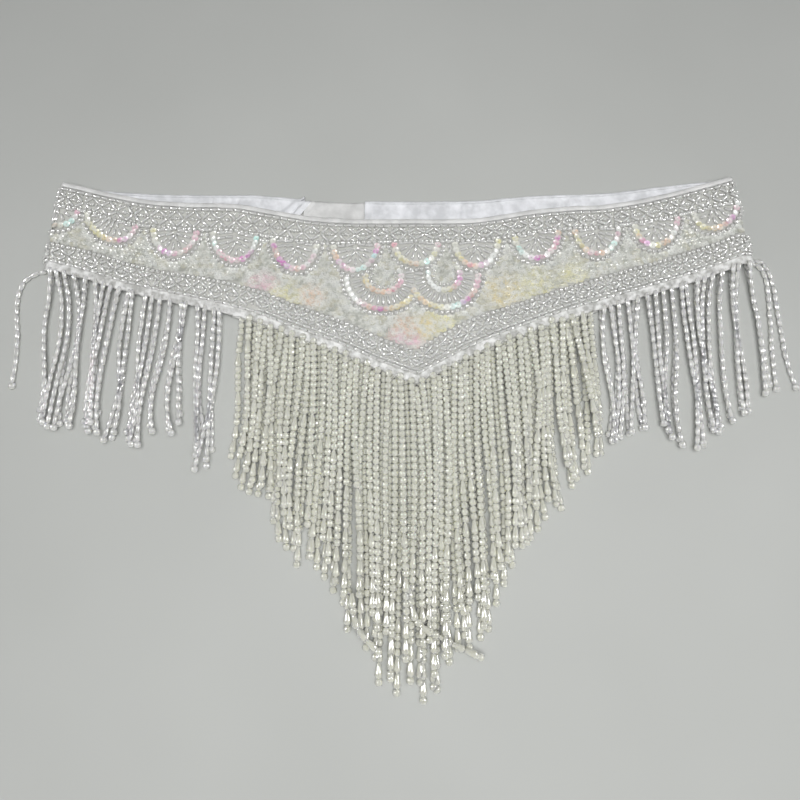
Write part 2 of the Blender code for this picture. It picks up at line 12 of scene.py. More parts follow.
import bmesh
import bpy
import numpy as np
from mathutils import Vector
from mathutils.bvhtree import BVHTree
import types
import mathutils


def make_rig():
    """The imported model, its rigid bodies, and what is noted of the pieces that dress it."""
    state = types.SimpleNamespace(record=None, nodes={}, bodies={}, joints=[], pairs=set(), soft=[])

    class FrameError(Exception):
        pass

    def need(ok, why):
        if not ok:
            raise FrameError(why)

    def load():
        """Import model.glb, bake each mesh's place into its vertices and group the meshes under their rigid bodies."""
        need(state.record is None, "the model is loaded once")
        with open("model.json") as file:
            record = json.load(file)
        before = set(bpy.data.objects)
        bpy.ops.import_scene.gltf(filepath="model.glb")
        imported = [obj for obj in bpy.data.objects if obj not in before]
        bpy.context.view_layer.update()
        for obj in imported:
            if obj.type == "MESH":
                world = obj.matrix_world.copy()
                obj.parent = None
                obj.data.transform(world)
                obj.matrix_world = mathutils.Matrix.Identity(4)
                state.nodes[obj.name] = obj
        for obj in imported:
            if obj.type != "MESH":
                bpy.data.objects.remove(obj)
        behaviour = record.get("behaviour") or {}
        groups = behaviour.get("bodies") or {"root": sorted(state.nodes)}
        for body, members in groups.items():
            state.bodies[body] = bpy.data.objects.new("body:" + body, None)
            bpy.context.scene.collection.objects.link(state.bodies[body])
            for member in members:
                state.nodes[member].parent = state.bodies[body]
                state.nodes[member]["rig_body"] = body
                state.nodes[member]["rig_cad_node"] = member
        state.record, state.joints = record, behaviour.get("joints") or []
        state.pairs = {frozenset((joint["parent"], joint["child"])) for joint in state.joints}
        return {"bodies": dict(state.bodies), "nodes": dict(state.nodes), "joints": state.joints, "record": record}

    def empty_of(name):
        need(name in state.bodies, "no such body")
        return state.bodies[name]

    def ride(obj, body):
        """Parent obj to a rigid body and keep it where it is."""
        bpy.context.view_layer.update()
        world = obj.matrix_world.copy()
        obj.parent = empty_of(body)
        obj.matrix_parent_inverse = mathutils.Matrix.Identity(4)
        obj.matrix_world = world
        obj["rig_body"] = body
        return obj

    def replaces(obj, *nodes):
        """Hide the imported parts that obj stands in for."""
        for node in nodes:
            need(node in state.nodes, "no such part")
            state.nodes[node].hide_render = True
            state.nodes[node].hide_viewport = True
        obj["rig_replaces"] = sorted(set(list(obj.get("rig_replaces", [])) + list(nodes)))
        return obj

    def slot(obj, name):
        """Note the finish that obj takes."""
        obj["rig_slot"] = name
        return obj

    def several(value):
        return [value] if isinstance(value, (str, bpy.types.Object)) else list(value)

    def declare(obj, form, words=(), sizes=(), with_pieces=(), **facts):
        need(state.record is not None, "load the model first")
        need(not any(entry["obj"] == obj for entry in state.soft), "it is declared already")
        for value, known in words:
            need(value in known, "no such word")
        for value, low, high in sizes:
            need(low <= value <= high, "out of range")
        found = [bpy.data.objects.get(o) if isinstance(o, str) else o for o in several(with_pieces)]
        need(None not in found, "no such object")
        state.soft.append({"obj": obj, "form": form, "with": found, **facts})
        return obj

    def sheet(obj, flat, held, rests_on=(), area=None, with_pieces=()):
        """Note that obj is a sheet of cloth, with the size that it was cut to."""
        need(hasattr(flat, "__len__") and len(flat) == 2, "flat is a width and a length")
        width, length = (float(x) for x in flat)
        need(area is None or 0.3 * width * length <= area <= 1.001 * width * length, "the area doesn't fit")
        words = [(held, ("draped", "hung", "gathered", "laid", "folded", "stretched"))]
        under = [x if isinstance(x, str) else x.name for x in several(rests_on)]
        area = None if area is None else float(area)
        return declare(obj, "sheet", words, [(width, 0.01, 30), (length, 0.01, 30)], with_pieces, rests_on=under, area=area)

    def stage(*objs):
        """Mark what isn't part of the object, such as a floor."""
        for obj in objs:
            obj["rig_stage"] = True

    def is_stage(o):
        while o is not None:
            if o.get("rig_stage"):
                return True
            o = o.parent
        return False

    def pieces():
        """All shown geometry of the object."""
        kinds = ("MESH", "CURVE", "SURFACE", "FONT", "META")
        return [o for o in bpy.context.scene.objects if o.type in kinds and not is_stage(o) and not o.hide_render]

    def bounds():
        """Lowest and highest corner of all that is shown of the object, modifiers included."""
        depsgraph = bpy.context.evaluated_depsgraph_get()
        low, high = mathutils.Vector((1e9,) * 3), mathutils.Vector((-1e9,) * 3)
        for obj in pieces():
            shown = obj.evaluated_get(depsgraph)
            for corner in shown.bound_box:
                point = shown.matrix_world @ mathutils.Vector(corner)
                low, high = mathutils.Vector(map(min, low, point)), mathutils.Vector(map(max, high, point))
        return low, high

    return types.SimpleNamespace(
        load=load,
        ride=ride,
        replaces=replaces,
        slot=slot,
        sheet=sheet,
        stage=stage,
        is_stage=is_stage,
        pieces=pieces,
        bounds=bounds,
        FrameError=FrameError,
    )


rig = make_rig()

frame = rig.load()
cad_low, cad_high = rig.bounds()

MM = 0.001
UP = Vector((0.0, 0.0, 1.0))
TO_WAIST = Vector((0.0, 1.0, 0.0))
TO_RIGHT = Vector((1.0, 0.0, 0.0))
OUTSIDE = 1.0
ROOT = "root"

# ---- camera and light
LENS_MM = 31.5
SENSOR_MM = 36.0
CAMERA_DISTANCE = 437.0 * MM
CAMERA_TILT = math.radians(15.0)
AIM = Vector((4.25 * MM, 9.9 * MM, 0.0))
CAMERA_AT = AIM + CAMERA_DISTANCE * Vector((0.0, -math.sin(CAMERA_TILT), math.cos(CAMERA_TILT)))
LEFT_LAMP = Vector((-0.88, 0.15, 0.70))
RIGHT_LAMP = Vector((0.88, 0.15, 0.70))
LAMP_SIZE = 0.25
LAMP_POWER = 6.6
FILL_LAMP = Vector((0.05, -0.22, 0.95))
FILL_SIZE = 0.75
FILL_POWER = 9.1
# strength of the pale sky: as a light, and as the backdrop of a low view
SKY = 0.20
SEEN_SKY = 0.50
FLOOR_SIZE = 3.0
FLOOR_Z = -0.05 * MM

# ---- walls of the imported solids
FOLD_RADIUS = 4.4 * MM
FRONT_WALL = 2.0 * MM
GAP = 0.3 * MM
BINDING = 3.6 * MM
HEM_TAPE = 5.0 * MM
BACK_BINDING = 2.4 * MM
MID_Y = 120.0 * MM
# heights at which edges are measured, and the columns that hold them
WING_EDGE_HIGH = 1.5 * MM
LINING_EDGE_HIGH = 3.2 * MM
TAB_EDGE_HIGH = 0.5 * MM
UPPER = 1
LOWER = 2

# ---- cloth over the inner face of the front
CLOTH_TOP = 1.3 * MM
CLOTH_THICK = 0.9 * MM
BINDING_HIGH = 1.7 * MM
BINDING_THICK = 0.35 * MM
BACK_BINDING_HIGH = 3.8 * MM
TAPE_HIGH = 1.5 * MM
TAPE_THICK = 0.3 * MM
LOW_TAPE_HIGH = 1.6 * MM
LOW_TAPE_UNDER = 1.8 * MM
BACK_TAPE_UNDER = 0.5 * MM
TAPE_LAP = 1.0 * MM
FOLD_ARC = 4.6 * MM
FOLD_END = 1.85

# ---- cloth inside the back
LINING_TOP = 3.75 * MM
LINING_THICK = 0.8 * MM
TAB_THICK = 0.7 * MM

# ---- beadwork of the borders: a line of bugles along the panel's edge, a line of round beads
# further in and a lattice between them
BUGLE_LONG = 4.7 * MM
BUGLE_THICK = 1.9 * MM
BUGLE_PITCH = 5.3 * MM
BUGLE_LINE = 1.6 * MM
SECOND_LINE = 2.3 * MM
SECOND_FROM = -91.0 * MM
ARM_LONG = 5.8 * MM
ARM_CLEAR = 1.5 * MM
ARM_STRAY = 0.35 * MM
LATTICE_CLEAR = 1.3 * MM
WAIST_LATTICE = 11.4 * MM
HEM_LATTICE = 10.6 * MM
ROUND_BEAD = 2.9 * MM
ROUND_PITCH = 3.4 * MM
SEED_BEAD = 1.9 * MM
# small beads of a lattice cell, from its middle: shares of its width and of half its height
SEED_SPOTS = ((-0.13, 0.80), (0.13, 0.80), (-0.13, -0.80), (0.13, -0.80), (0.30, 0.0), (-0.30, 0.0))
CELL_SEAT = CLOTH_TOP + ROUND_BEAD / 2.4
SEED_SEAT = CLOTH_TOP + SEED_BEAD / 2.4
ROUND_SEAT = CLOTH_TOP + ROUND_BEAD / 2.2
BUGLE_SEAT = CLOTH_TOP + BUGLE_THICK / 2.0
SEQUIN_SEAT = CLOTH_TOP + 1.0 * MM

# widths of the borders from bugles to round beads: u and width in millimetres
WAIST_BORDER = np.array((
    (-222, 12.2), (-200, 12.4), (-178, 14.0), (-140, 14.6), (-100, 14.8), (-42, 13.5),
    (-10, 11.8), (4, 11.1), (140, 11.4), (175, 11.8), (195, 12.8), (230, 12.8)))
HEM_BORDER = np.array((
    (-220, 11.2), (-150, 11.5), (-105, 13.4), (-60, 12.7), (15, 12.5), (50, 14.6),
    (82, 12.8), (150, 13.2), (225, 12.6)))

# ---- scallops and fans
APEX_X = 14.75 * MM
SCALLOP_PITCH = 39.6 * MM
RIM_IN = 3.9 * MM
SEQUIN = 4.3 * MM
RIM_PITCH = 3.6 * MM
RIM_TILT = 0.40
RIM_STRAY = 0.24

# ---- fringe
PEARL = 4.4 * MM
PEARL_PITCH = 4.12 * MM
RICE_THICK = 3.0 * MM
RICE_PITCH = 5.7 * MM
DROP_LONG = 8.6 * MM
DROP_THICK = 4.4 * MM


# ---- the belt's form, from the solids

def read(table, at, column=1):
    """A column of a table, read between its rows at a value of column 0."""
    return float(np.interp(at, table[:, 0], table[:, column]))


def solid(node):
    """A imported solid, ready to be measured with rays."""
    body = bmesh.new()
    body.from_mesh(frame["nodes"][node].data)
    found = BVHTree.FromBMesh(body)
    body.free()
    return found


def edges_at(tree, x, z):
    """y of a solid's upper and lower edges at a height; none past its ends."""
    upper = tree.ray_cast(Vector((x, OUTSIDE, z)), -TO_WAIST)[0]
    lower = tree.ray_cast(Vector((x, -OUTSIDE, z)), TO_WAIST)[0]
    return (upper.y, lower.y) if upper and lower else ()


def edges_of(node, z, low, high):
    """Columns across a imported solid: x and the y of its upper and lower edges."""
    tree = solid(node)
    rows = [(x, *edges_at(tree, x, z)) for x in np.linspace(low, high, 60)]
    return np.array([row for row in rows if len(row) > 1])


def measure_front():
    """Columns across the front panel: x, y of its waist and hem edges, z of its inner face."""
    panel = solid("front_panel")
    rows = []
    for x in np.linspace(-217.0 * MM, 219.0 * MM, 219):
        under = panel.ray_cast(Vector((x, MID_Y, -MM)), UP)[0].z
        rows.append((x, *edges_at(panel, x, under + FRONT_WALL / 2.0), under))
    return np.array(rows)


def measure_folds():
    """Rows up the side folds: y, and the x where the left and the right fold begin to turn."""
    height = 3.0 * MM
    reach = math.sqrt(FOLD_RADIUS**2 - (FOLD_RADIUS - height) ** 2)
    left = solid("back_wing_left")
    right = solid("back_wing_right")
    rows = []
    for y in np.linspace(110.0 * MM, 150.0 * MM, 21):
        x_left = left.ray_cast(Vector((-OUTSIDE, y, height)), TO_RIGHT)[0].x
        x_right = right.ray_cast(Vector((OUTSIDE, y, height)), -TO_RIGHT)[0].x
        rows.append((y, x_left + reach, x_right - reach))
    return np.array(rows)


def stretched(rows, first, last):
    """The same rows, carried straight on at both ends to two further values of column 0."""
    start = rows[0] + (rows[1] - rows[0]) * (first - rows[0, 0]) / (rows[1, 0] - rows[0, 0])
    end = rows[-1] + (rows[-1] - rows[-2]) * (last - rows[-1, 0]) / (rows[-1, 0] - rows[-2, 0])
    return np.vstack([start, rows, end])


FOLDS = stretched(measure_folds(), 80.0 * MM, 165.0 * MM)
FRONT = stretched(measure_front(), -222.5 * MM, 226.0 * MM)


def fold_start(y, side):
    """x where the left (-1) or right (1) side fold begins to turn."""
    return read(FOLDS, y, 1 if side < 0 else 2)


def waist_edge(u):
    return read(FRONT, u, UPPER)


def hem_edge(u):
    return read(FRONT, u, LOWER)


def wave(at, length, shift=0.0):
    """A sine along a distance; length is the millimetres for one radian of it."""
    return math.sin(at / (length * MM) + shift)


def ripple(u, y):
    """Slight waviness of the beaded cloth."""
    return 0.22 * MM * (wave(u, 9.1) * wave(u, 31.0, 1.0)) * (0.6 + 0.4 * wave(y, 17.0))


def on_front(u, y, height):
    """A place over the front's inner face, and the way the cloth faces there."""
    side = -1.0 if u < 0.0 else 1.0
    start = fold_start(y, side)
    past = (u - start) * side
    if past <= 0.0:
        ahead = np.interp((u - MM, u, u + MM), FRONT[:, 0], FRONT[:, 3])
        facing = Vector((ahead[0] - ahead[2], 0.0, 2.0 * MM)).normalized()
        return Vector((u, y, ahead[1] + height + ripple(u, y))), facing
    turn = past / FOLD_ARC
    facing = Vector((side * math.sin(turn), 0.0, math.cos(turn)))
    return Vector((start, y, FOLD_RADIUS)) + facing * (FOLD_RADIUS - FRONT_WALL + height), facing


# ---- lines to string beads along

class Line:
    """A line across the belt, y for each u, that can be walked in even steps of its length."""

    def __init__(self, height_at, middle):
        reach = fold_start(MID_Y, 1) + FOLD_ARC * FOLD_END
        self.u = np.linspace(-reach, reach, 1800)
        self.y = np.array([height_at(u) for u in self.u])
        steps = np.hypot(np.diff(self.u), np.diff(self.y))
        self.run = np.concatenate([[0.0], np.cumsum(steps)])
        self.run -= np.interp(middle, self.u, self.run)

    def at(self, run):
        """u and y at a distance along the line from its middle."""
        return float(np.interp(run, self.run, self.u)), float(np.interp(run, self.run, self.y))

    def lean(self, run):
        """Unit direction of the line there."""
        u_low, y_low = self.at(run - MM)
        u_high, y_high = self.at(run + MM)
        return Vector((u_high - u_low, y_high - y_low)).normalized()

    def steps(self, pitch, shift=0.0):
        """Distances along the line, one for each bead."""
        first = math.ceil((self.run[0] + pitch / 2.0 - shift) / pitch)
        last = math.floor((self.run[-1] - pitch / 2.0 - shift) / pitch)
        return [k * pitch + shift for k in range(first, last + 1)]


# ---- shapes of beads

BUGLE_SIDES = 8
PEARL_SIDES = 9
SEQUIN_SIDES = 10
PEARL_MOUTH = 0.42
RICE_MOUTH = 0.62
FULLNESS = 2.6
BUGLE_LIP = 0.3
SEQUIN_HOLE = 0.14
SEQUIN_FLAT = 0.66
SEQUIN_CUP = 0.14
TOUCHING = 0.01 * MM

# a teardrop's side: share of the length from its narrow end, share of the full radius
DROP_SIDE = ((0.0, 0.0), (0.0, 0.40), (0.14, 0.58), (0.40, 0.75), (0.64, 0.91),
             (0.80, 1.0), (0.93, 0.80), (1.0, 0.42), (1.0, 0.0))


def spun(body, points, axis, sides):
    """Spins a chain of points once round an axis through the origin."""
    corners = [body.verts.new(point) for point in points]
    edges = [body.edges.new(pair) for pair in zip(corners, corners[1:])]
    bmesh.ops.spin(body, geom=corners + edges, cent=(0.0, 0.0, 0.0), axis=axis,
                   angle=2.0 * math.pi, steps=sides, use_merge=True)


def turned(profile, sides):
    """A bead turned about the X axis from (x, radius) points."""
    body = bmesh.new()
    spun(body, [(x, 0.0, radius) for x, radius in profile], (1.0, 0.0, 0.0), sides)
    bmesh.ops.remove_doubles(body, verts=body.verts, dist=TOUCHING)
    bmesh.ops.recalc_face_normals(body, faces=body.faces)
    return finished("bead", body)


def finished(name, body):
    """A mesh made from what was modelled."""
    mesh = bpy.data.meshes.new(name)
    body.to_mesh(mesh)
    body.free()
    return mesh


def ball(thick):
    body = bmesh.new()
    bmesh.ops.create_icosphere(body, subdivisions=2, radius=thick / 2.0)
    return finished("bead", body)


def bugle(length, thick):
    """A short tube with a lip at both ends."""
    half = length / 2.0
    radius = thick / 2.0
    lip = BUGLE_LIP * radius
    profile = ((-half, 0.0), (-half, radius - lip), (-half + lip, radius),
               (half - lip, radius), (half, radius - lip), (half, 0.0))
    return turned(profile, BUGLE_SIDES)


def barrel(length, thick, mouth):
    """A pearl, round or long, that meets its neighbours at drilled mouths."""
    half = length / 2.0
    profile = [(-half, 0.0), (-half, mouth * thick / 2.0)]
    for t in (0.62, 1.05, math.pi / 2.0):
        bulge = (1.0 - math.cos(t) ** FULLNESS) ** (1.0 / FULLNESS)
        profile.append((-half * math.cos(t), thick / 2.0 * max(bulge, mouth)))
    mirrored = [(-x, radius) for x, radius in reversed(profile[:-1])]
    return turned(profile + mirrored, PEARL_SIDES)


def drop(length, thick):
    """A teardrop with its narrow end towards -X."""
    return turned([((x - 0.5) * length, r * thick / 2.0) for x, r in DROP_SIDE], PEARL_SIDES)


def sequin(size):
    """A cupped disc with a hole, open side up, lying in the XY plane."""
    body = bmesh.new()
    rim = size / 2.0
    profile = ((SEQUIN_HOLE * rim, 0.0, 0.0), (SEQUIN_FLAT * rim, 0.0, 0.0),
               (rim, 0.0, SEQUIN_CUP * rim))
    spun(body, profile, (0.0, 0.0, 1.0), SEQUIN_SIDES)
    bmesh.ops.recalc_face_normals(body, faces=body.faces)
    if sum(face.normal.z for face in body.faces) < 0.0:
        bmesh.ops.reverse_faces(body, faces=body.faces)
    return finished("bead", body)


SHAPES = {
    "bugle": bugle(BUGLE_LONG, BUGLE_THICK),
    "arm": bugle(ARM_LONG, BUGLE_THICK),
    "round": ball(ROUND_BEAD),
    "seed": ball(SEED_BEAD),
    "pearl": barrel(PEARL_PITCH, PEARL, PEARL_MOUTH),
    "rice": barrel(RICE_PITCH, RICE_THICK, RICE_MOUTH),
    "drop": drop(DROP_LONG, DROP_THICK),
    "sequin": sequin(SEQUIN),
}

Bead = namedtuple("Bead", "shape place along facing tint stretch u", defaults=(1.0, 0.0))


def points_of(mesh):
    """Corners of a mesh as rows of x, y, z."""
    found = np.zeros(len(mesh.vertices) * 3)
    mesh.vertices.foreach_get("co", found)
    return found.reshape(-1, 3)


def joined(name, beads, finish, slot="beadwork", *nodes):
    """One piece made of many beads, each turned to its own direction, with its tint kept."""
    body = bmesh.new()
    for bead in beads:
        body.from_mesh(SHAPES[bead.shape])
    mesh = finished(name, body)
    corners = {shape: points_of(SHAPES[shape]) for shape in {bead.shape for bead in beads}}
    places = []
    tints = []
    for bead in beads:
        along = bead.along.normalized()
        beside = bead.facing.cross(along).normalized()
        axes = np.array((along * bead.stretch, beside, along.cross(beside)))
        places.append(corners[bead.shape] @ axes + np.array(bead.place))
        tints.append(np.tile((*bead.tint, 1.0), (len(corners[bead.shape]), 1)))
    mesh.vertices.foreach_set("co", np.concatenate(places).ravel())
    tint = mesh.attributes.new("tint", "FLOAT_COLOR", "POINT")
    tint.data.foreach_set("color", np.concatenate(tints).ravel())
    dressed(name, mesh, finish, slot, *nodes)


def placed(name, data):
    """A new object in the scene."""
    made = bpy.data.objects.new(name, data)
    bpy.context.scene.collection.objects.link(made)
    return made


def dressed(name, mesh, finish, slot, *nodes):
    """A mesh as a smooth piece of the belt, with its finish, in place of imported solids."""
    mesh.shade_smooth()
    mesh.materials.append(finish)
    piece = placed(name, mesh)
    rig.ride(piece, ROOT)
    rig.slot(piece, slot)
    for node in nodes:
        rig.replaces(piece, node)
    return piece


# ---- finishes

# metres between the bands of a wave texture at scale 1; then threads, noises and pearls
WAVE_REPEAT = 0.314
THREAD_PITCH = 0.4 * MM
THREAD_DEPTH = 0.03 * MM
THREAD_WANDER = 0.6
THREAD_BUMP = 0.35
DRIFT_BUMP = 0.5
CLOTH_DRIFT = 120.0
TAPE_DRIFT = 260.0
# scale of the noise that places the sequins' painted glints
PAINTED_GLINT_SCALE = 420.0
FLOOR_SCALE = 6.0
LUSTRE_ROUGHNESS = 0.10
GLOW_DEPTH = 2.5 * MM
GLOW = 0.8


def plug(tree, socket, value):
    """Sets a socket to a value, or links another node's output to it."""
    if isinstance(value, bpy.types.NodeSocket):
        tree.links.new(value, socket)
    else:
        socket.default_value = value


def wired(tree, node, **values):
    """The same node, with sockets plugged by name."""
    for name, value in values.items():
        plug(tree, node.inputs[name.replace("_", " ")], value)
    return node


def added(tree, kind, **values):
    """A new shader node, with sockets plugged by name."""
    return wired(tree, tree.nodes.new("ShaderNode" + kind), **values)


def maths(tree, operation, *values):
    """Output of a new math node."""
    node = added(tree, "Math")
    node.operation = operation
    for socket, value in zip(node.inputs, values):
        plug(tree, socket, value)
    return node.outputs[0]


def blended(tree, factor, low, high, way="MIX"):
    """Output of a new node that mixes two colours."""
    node = added(tree, "Mix")
    node.data_type = "RGBA"
    node.blend_type = way
    return wired(tree, node, Factor=factor, A=low, B=high).outputs["Result"]


def coordinates(tree):
    return added(tree, "TexCoord").outputs["Object"]


def bead_tint(tree):
    """The colour that each bead brings along."""
    node = added(tree, "Attribute")
    node.attribute_name = "tint"
    return node.outputs["Color"]


def principled(name, **sockets):
    """A Principled material and its shader node, with sockets set by name."""
    made = bpy.data.materials.new(name)
    made.use_nodes = True
    tree = made.node_tree
    return made, tree, wired(tree, tree.nodes["Principled BSDF"], **sockets)


def weave(tree, shader, drift):
    """Fine crossing threads as a bump, with a slower unevenness of the cloth."""
    place = coordinates(tree)
    threads = []
    for angle in (0.0, math.pi / 2.0):
        across = added(tree, "Mapping", Vector=place, Rotation=(0.0, 0.0, angle))
        bands = added(tree, "TexWave", Vector=across.outputs["Vector"],
                      Scale=WAVE_REPEAT / THREAD_PITCH, Distortion=THREAD_WANDER)
        threads.append(bands.outputs["Fac"])
    slow = added(tree, "TexNoise", Vector=place, Scale=drift, Detail=3.0).outputs["Fac"]
    fine = added(tree, "Bump", Strength=THREAD_BUMP, Distance=THREAD_DEPTH,
                 Height=maths(tree, "MULTIPLY", *threads))
    broad = added(tree, "Bump", Strength=DRIFT_BUMP, Distance=4.0 * THREAD_DEPTH, Height=slow,
                  Normal=fine.outputs["Normal"])
    wired(tree, shader, Normal=broad.outputs["Normal"])
    return slow


def contrasted(tree, noise, low, high, **ends):
    """A noise stretched so that low becomes 0 and high becomes 1, or the ends given."""
    return added(tree, "MapRange", Value=noise, From_Min=low, From_Max=high,
                 **ends).outputs["Result"]


def satin_finish(name, low, high, roughness, drift=CLOTH_DRIFT):
    """Woven satin whose colour drifts between two tones."""
    made, tree, shader = principled(name, Roughness=roughness, Sheen_Weight=0.2)
    tone = contrasted(tree, weave(tree, shader, drift), 0.36, 0.64)
    wired(tree, shader, Base_Color=blended(tree, tone, (*low, 1.0), (*high, 1.0)))
    return made


def rim_lit_pearl_finish(name, middle, edge, metallic, glow=0.0):
    """Pearl finish with a painted rim light: the colour pales where the surface turns away, painted
    light that lifts the shade between neighbouring beads, times the bead's own tint.

    Light sinks a little way into a pearl, a share glow of it, and softens its shadows."""
    made, tree, shader = principled(name, Roughness=LUSTRE_ROUGHNESS, Metallic=metallic,
                                    Coat_Weight=1.0, Coat_Roughness=0.06, Coat_IOR=2.4,
                                    Subsurface_Weight=glow, Subsurface_Scale=GLOW_DEPTH,
                                    Subsurface_Radius=(1.0, 1.0, 0.9))
    # painted rim light: the base colour pales from the middle colour to the edge colour where the surface turns away
    facing = added(tree, "LayerWeight", Blend=0.5).outputs["Facing"]
    painted_rim_light = blended(tree, facing, (*middle, 1.0), (*edge, 1.0))
    wired(tree, shader, Base_Color=blended(tree, 1.0, painted_rim_light, bead_tint(tree), "MULTIPLY"))
    return made


def sequin_finish(name):
    """Iridescent film: the bead's own tint, mixed at random spots with near-white, a painted glint."""
    made, tree, shader = principled(name, Roughness=0.30, Metallic=0.1, Coat_Weight=0.6,
                                    Coat_Roughness=0.12)
    # painted glints: a noise mixes up to three quarters near-white into the sequin's tint
    film = added(tree, "TexNoise", Vector=coordinates(tree), Scale=PAINTED_GLINT_SCALE).outputs["Fac"]
    painted_glints = contrasted(tree, film, 0.38, 0.62, To_Min=0.0, To_Max=0.75)
    wired(tree, shader,
          Base_Color=blended(tree, painted_glints, bead_tint(tree), (0.84, 0.84, 0.80, 1.0)))
    return made


SATIN = satin_finish("white_satin", (0.62, 0.62, 0.61), (0.78, 0.78, 0.77), 0.42)
LINING = satin_finish("lining_satin", (0.67, 0.68, 0.70), (0.89, 0.90, 0.93), 0.36)
TAPE = satin_finish("gathered_satin", (0.42, 0.42, 0.40), (0.84, 0.84, 0.83), 0.55, TAPE_DRIFT)
GROUND = satin_finish("beaded_ground", (0.50, 0.50, 0.47), (0.58, 0.58, 0.55), 0.55)
# each pearl's second colour is its painted rim light, paler than its middle
IVORY = rim_lit_pearl_finish("ivory_pearl", (0.72, 0.72, 0.63), (0.95, 0.95, 0.87), 0.10, GLOW)
RICE = rim_lit_pearl_finish("white_pearl", (0.71, 0.71, 0.69), (0.95, 0.95, 0.93), 0.10, GLOW)
BEAD = rim_lit_pearl_finish("border_pearl", (0.78, 0.78, 0.76), (0.82, 0.82, 0.79), 0.20)
GLASS = rim_lit_pearl_finish("bugle_pearl", (0.78, 0.78, 0.76), (0.82, 0.82, 0.80), 0.20)
SEQUIN_FILM = sequin_finish("iridescent_film")

# the sequins' tints: white, ivory, yellow, gold, orange, red, pink, magenta, violet and cyan
TINTS = {
    "w": (0.98, 1.00, 0.98),
    "i": (0.80, 0.80, 0.72),
    "y": (0.80, 0.77, 0.48),
    "g": (0.80, 0.70, 0.42),
    "o": (0.82, 0.62, 0.48),
    "r": (0.82, 0.46, 0.52),
    "p": (0.84, 0.58, 0.66),
    "m": (0.76, 0.28, 0.66),
    "v": (0.76, 0.56, 0.80),
    "c": (0.66, 1.00, 0.94),
}
GLINTS = "wc"
GLINT_REACH = 0.45


# ---- cloth

def shell(name, columns, rows, place, finish, slot, thick, *nodes):
    """A thin shell: place(across, up) gives its upper face for shares from 0 to 1."""
    body = bmesh.new()
    bmesh.ops.create_grid(body, x_segments=columns, y_segments=rows, size=0.5)
    for vert in body.verts:
        vert.co = place(vert.co.x + 0.5, vert.co.y + 0.5)
    piece = dressed(name, finished(name, body), finish, slot, *nodes)
    wall = piece.modifiers.new("wall", "SOLIDIFY")
    wall.thickness = thick
    wall.offset = -1.0


def reach_at(y, side):
    """u of the end of the front's fold."""
    return fold_start(y, side) + side * FOLD_ARC * math.pi / 2.0


def across_front(share, edge):
    """u for a share of the way across the front, for the row that an edge function gives."""
    left = reach_at(edge(-1.0), -1)
    right = reach_at(edge(1.0), 1)
    return left + (right - left) * share


def front_cloth():
    """The V-shaped ground of the front, bent round both side folds."""
    def place(across, up):
        u = across_front(across, waist_edge) * up + across_front(across, hem_edge) * (1.0 - up)
        y = hem_edge(u) + (waist_edge(u) - hem_edge(u)) * up
        return on_front(u, y, CLOTH_TOP)[0]

    shell("front_cloth", 230, 40, place, GROUND, "beadwork", CLOTH_THICK, "front_panel")


def double(share, wide, high):
    """Across a strip folded double, from its upper edge out round the fold and back beneath.

    Gives the distance out from the edge and the height over the underside."""
    bend = high / 2.0
    leg = wide - bend
    run = share * (2.0 * leg + math.pi * bend)
    if run < leg:
        return run, high
    if run > leg + math.pi * bend:
        return 2.0 * leg + math.pi * bend - run, 0.0
    turn = (run - leg) / bend
    return leg + bend * math.sin(turn), bend + bend * math.cos(turn)


def waist_binding():
    """Folded satin strip on the front's waist edge."""
    def place(across, up):
        u = across_front(across, waist_edge)
        wavy = 0.35 * MM * wave(u, 5.3) * wave(u, 23.0)
        out, height = double(up, BINDING + 0.4 * wavy, BINDING_HIGH + 0.8 * wavy)
        crown = 0.4 * MM * math.sin(math.pi * out / BINDING)
        return on_front(u, waist_edge(u) + GAP + out, height + crown)[0]

    shell("front_waist_binding", 240, 14, place, SATIN, "satin", BINDING_THICK,
          "waist_binding_front")


def back_binding(side):
    """Folded satin strip on the waist edge of a wing."""
    node = "waist_binding_back_" + side
    edges = edges_of(node, WING_EDGE_HIGH, *span_of(node))

    def place(across, up):
        u = edges[0, 0] + (edges[-1, 0] - edges[0, 0]) * across
        out, height = double(up, BACK_BINDING, BACK_BINDING_HIGH)
        wavy = 0.12 * MM * wave(u, 4.1) * wave(u, 17.0)
        return Vector((u, read(edges, u, LOWER) + out + wavy, height + wavy + 0.2 * MM))

    shell("back_binding_" + side, 120, 14, place, LINING, "satin", BINDING_THICK, node)


def pucker(u, share):
    """Gathers of the hem tape: close ones at the strands, and slower ones between them."""
    drift = 1.7 * wave(u, 13.0)
    close = wave(u, 0.92, drift) * (0.6 + 0.4 * wave(u, 5.3))
    slow = wave(u, 1.9, 2.0 * drift)
    return (0.18 * close + 0.25 * slow) * MM * share


def stepped(u):
    """Uneven lower edge of the tape: each stitch pulls it in a little further, then it springs
    back."""
    pitch = 6.3 * MM + 1.1 * MM * wave(u, 47.0)
    return 0.55 * MM * (u / pitch % 1.0)


def hem_tape():
    """Satin tape folded over the front's hem, which the strands hang from."""
    def place(across, down):
        u = across_front(across, hem_edge)
        wide = HEM_TAPE + TAPE_LAP - stepped(u) + pucker(u + 5.0 * MM, 1.0)
        out, height = double(down, wide, TAPE_HIGH)
        free = min(out / HEM_TAPE, 1.0)
        return on_front(u, hem_edge(u) + TAPE_LAP - out, height + pucker(u, free))[0]

    shell("front_hem_tape", 800, 16, place, TAPE, "satin", TAPE_THICK,
          "fringe_front_left", "fringe_front_right", "fringe_centre_upper")


def low_tape():
    """Tape folded over the roots of the lower row of strands, under the front's hem."""
    low, high = span_of("fringe_centre_lower")

    def place(across, down):
        u = low + (high - low) * across
        out, height = double(down, HEM_TAPE, LOW_TAPE_HIGH)
        return Vector((u, hem_edge(u) - out, LOW_TAPE_UNDER + height))

    shell("low_hem_tape", 160, 22, place, TAPE, "satin", TAPE_THICK, "fringe_centre_lower")


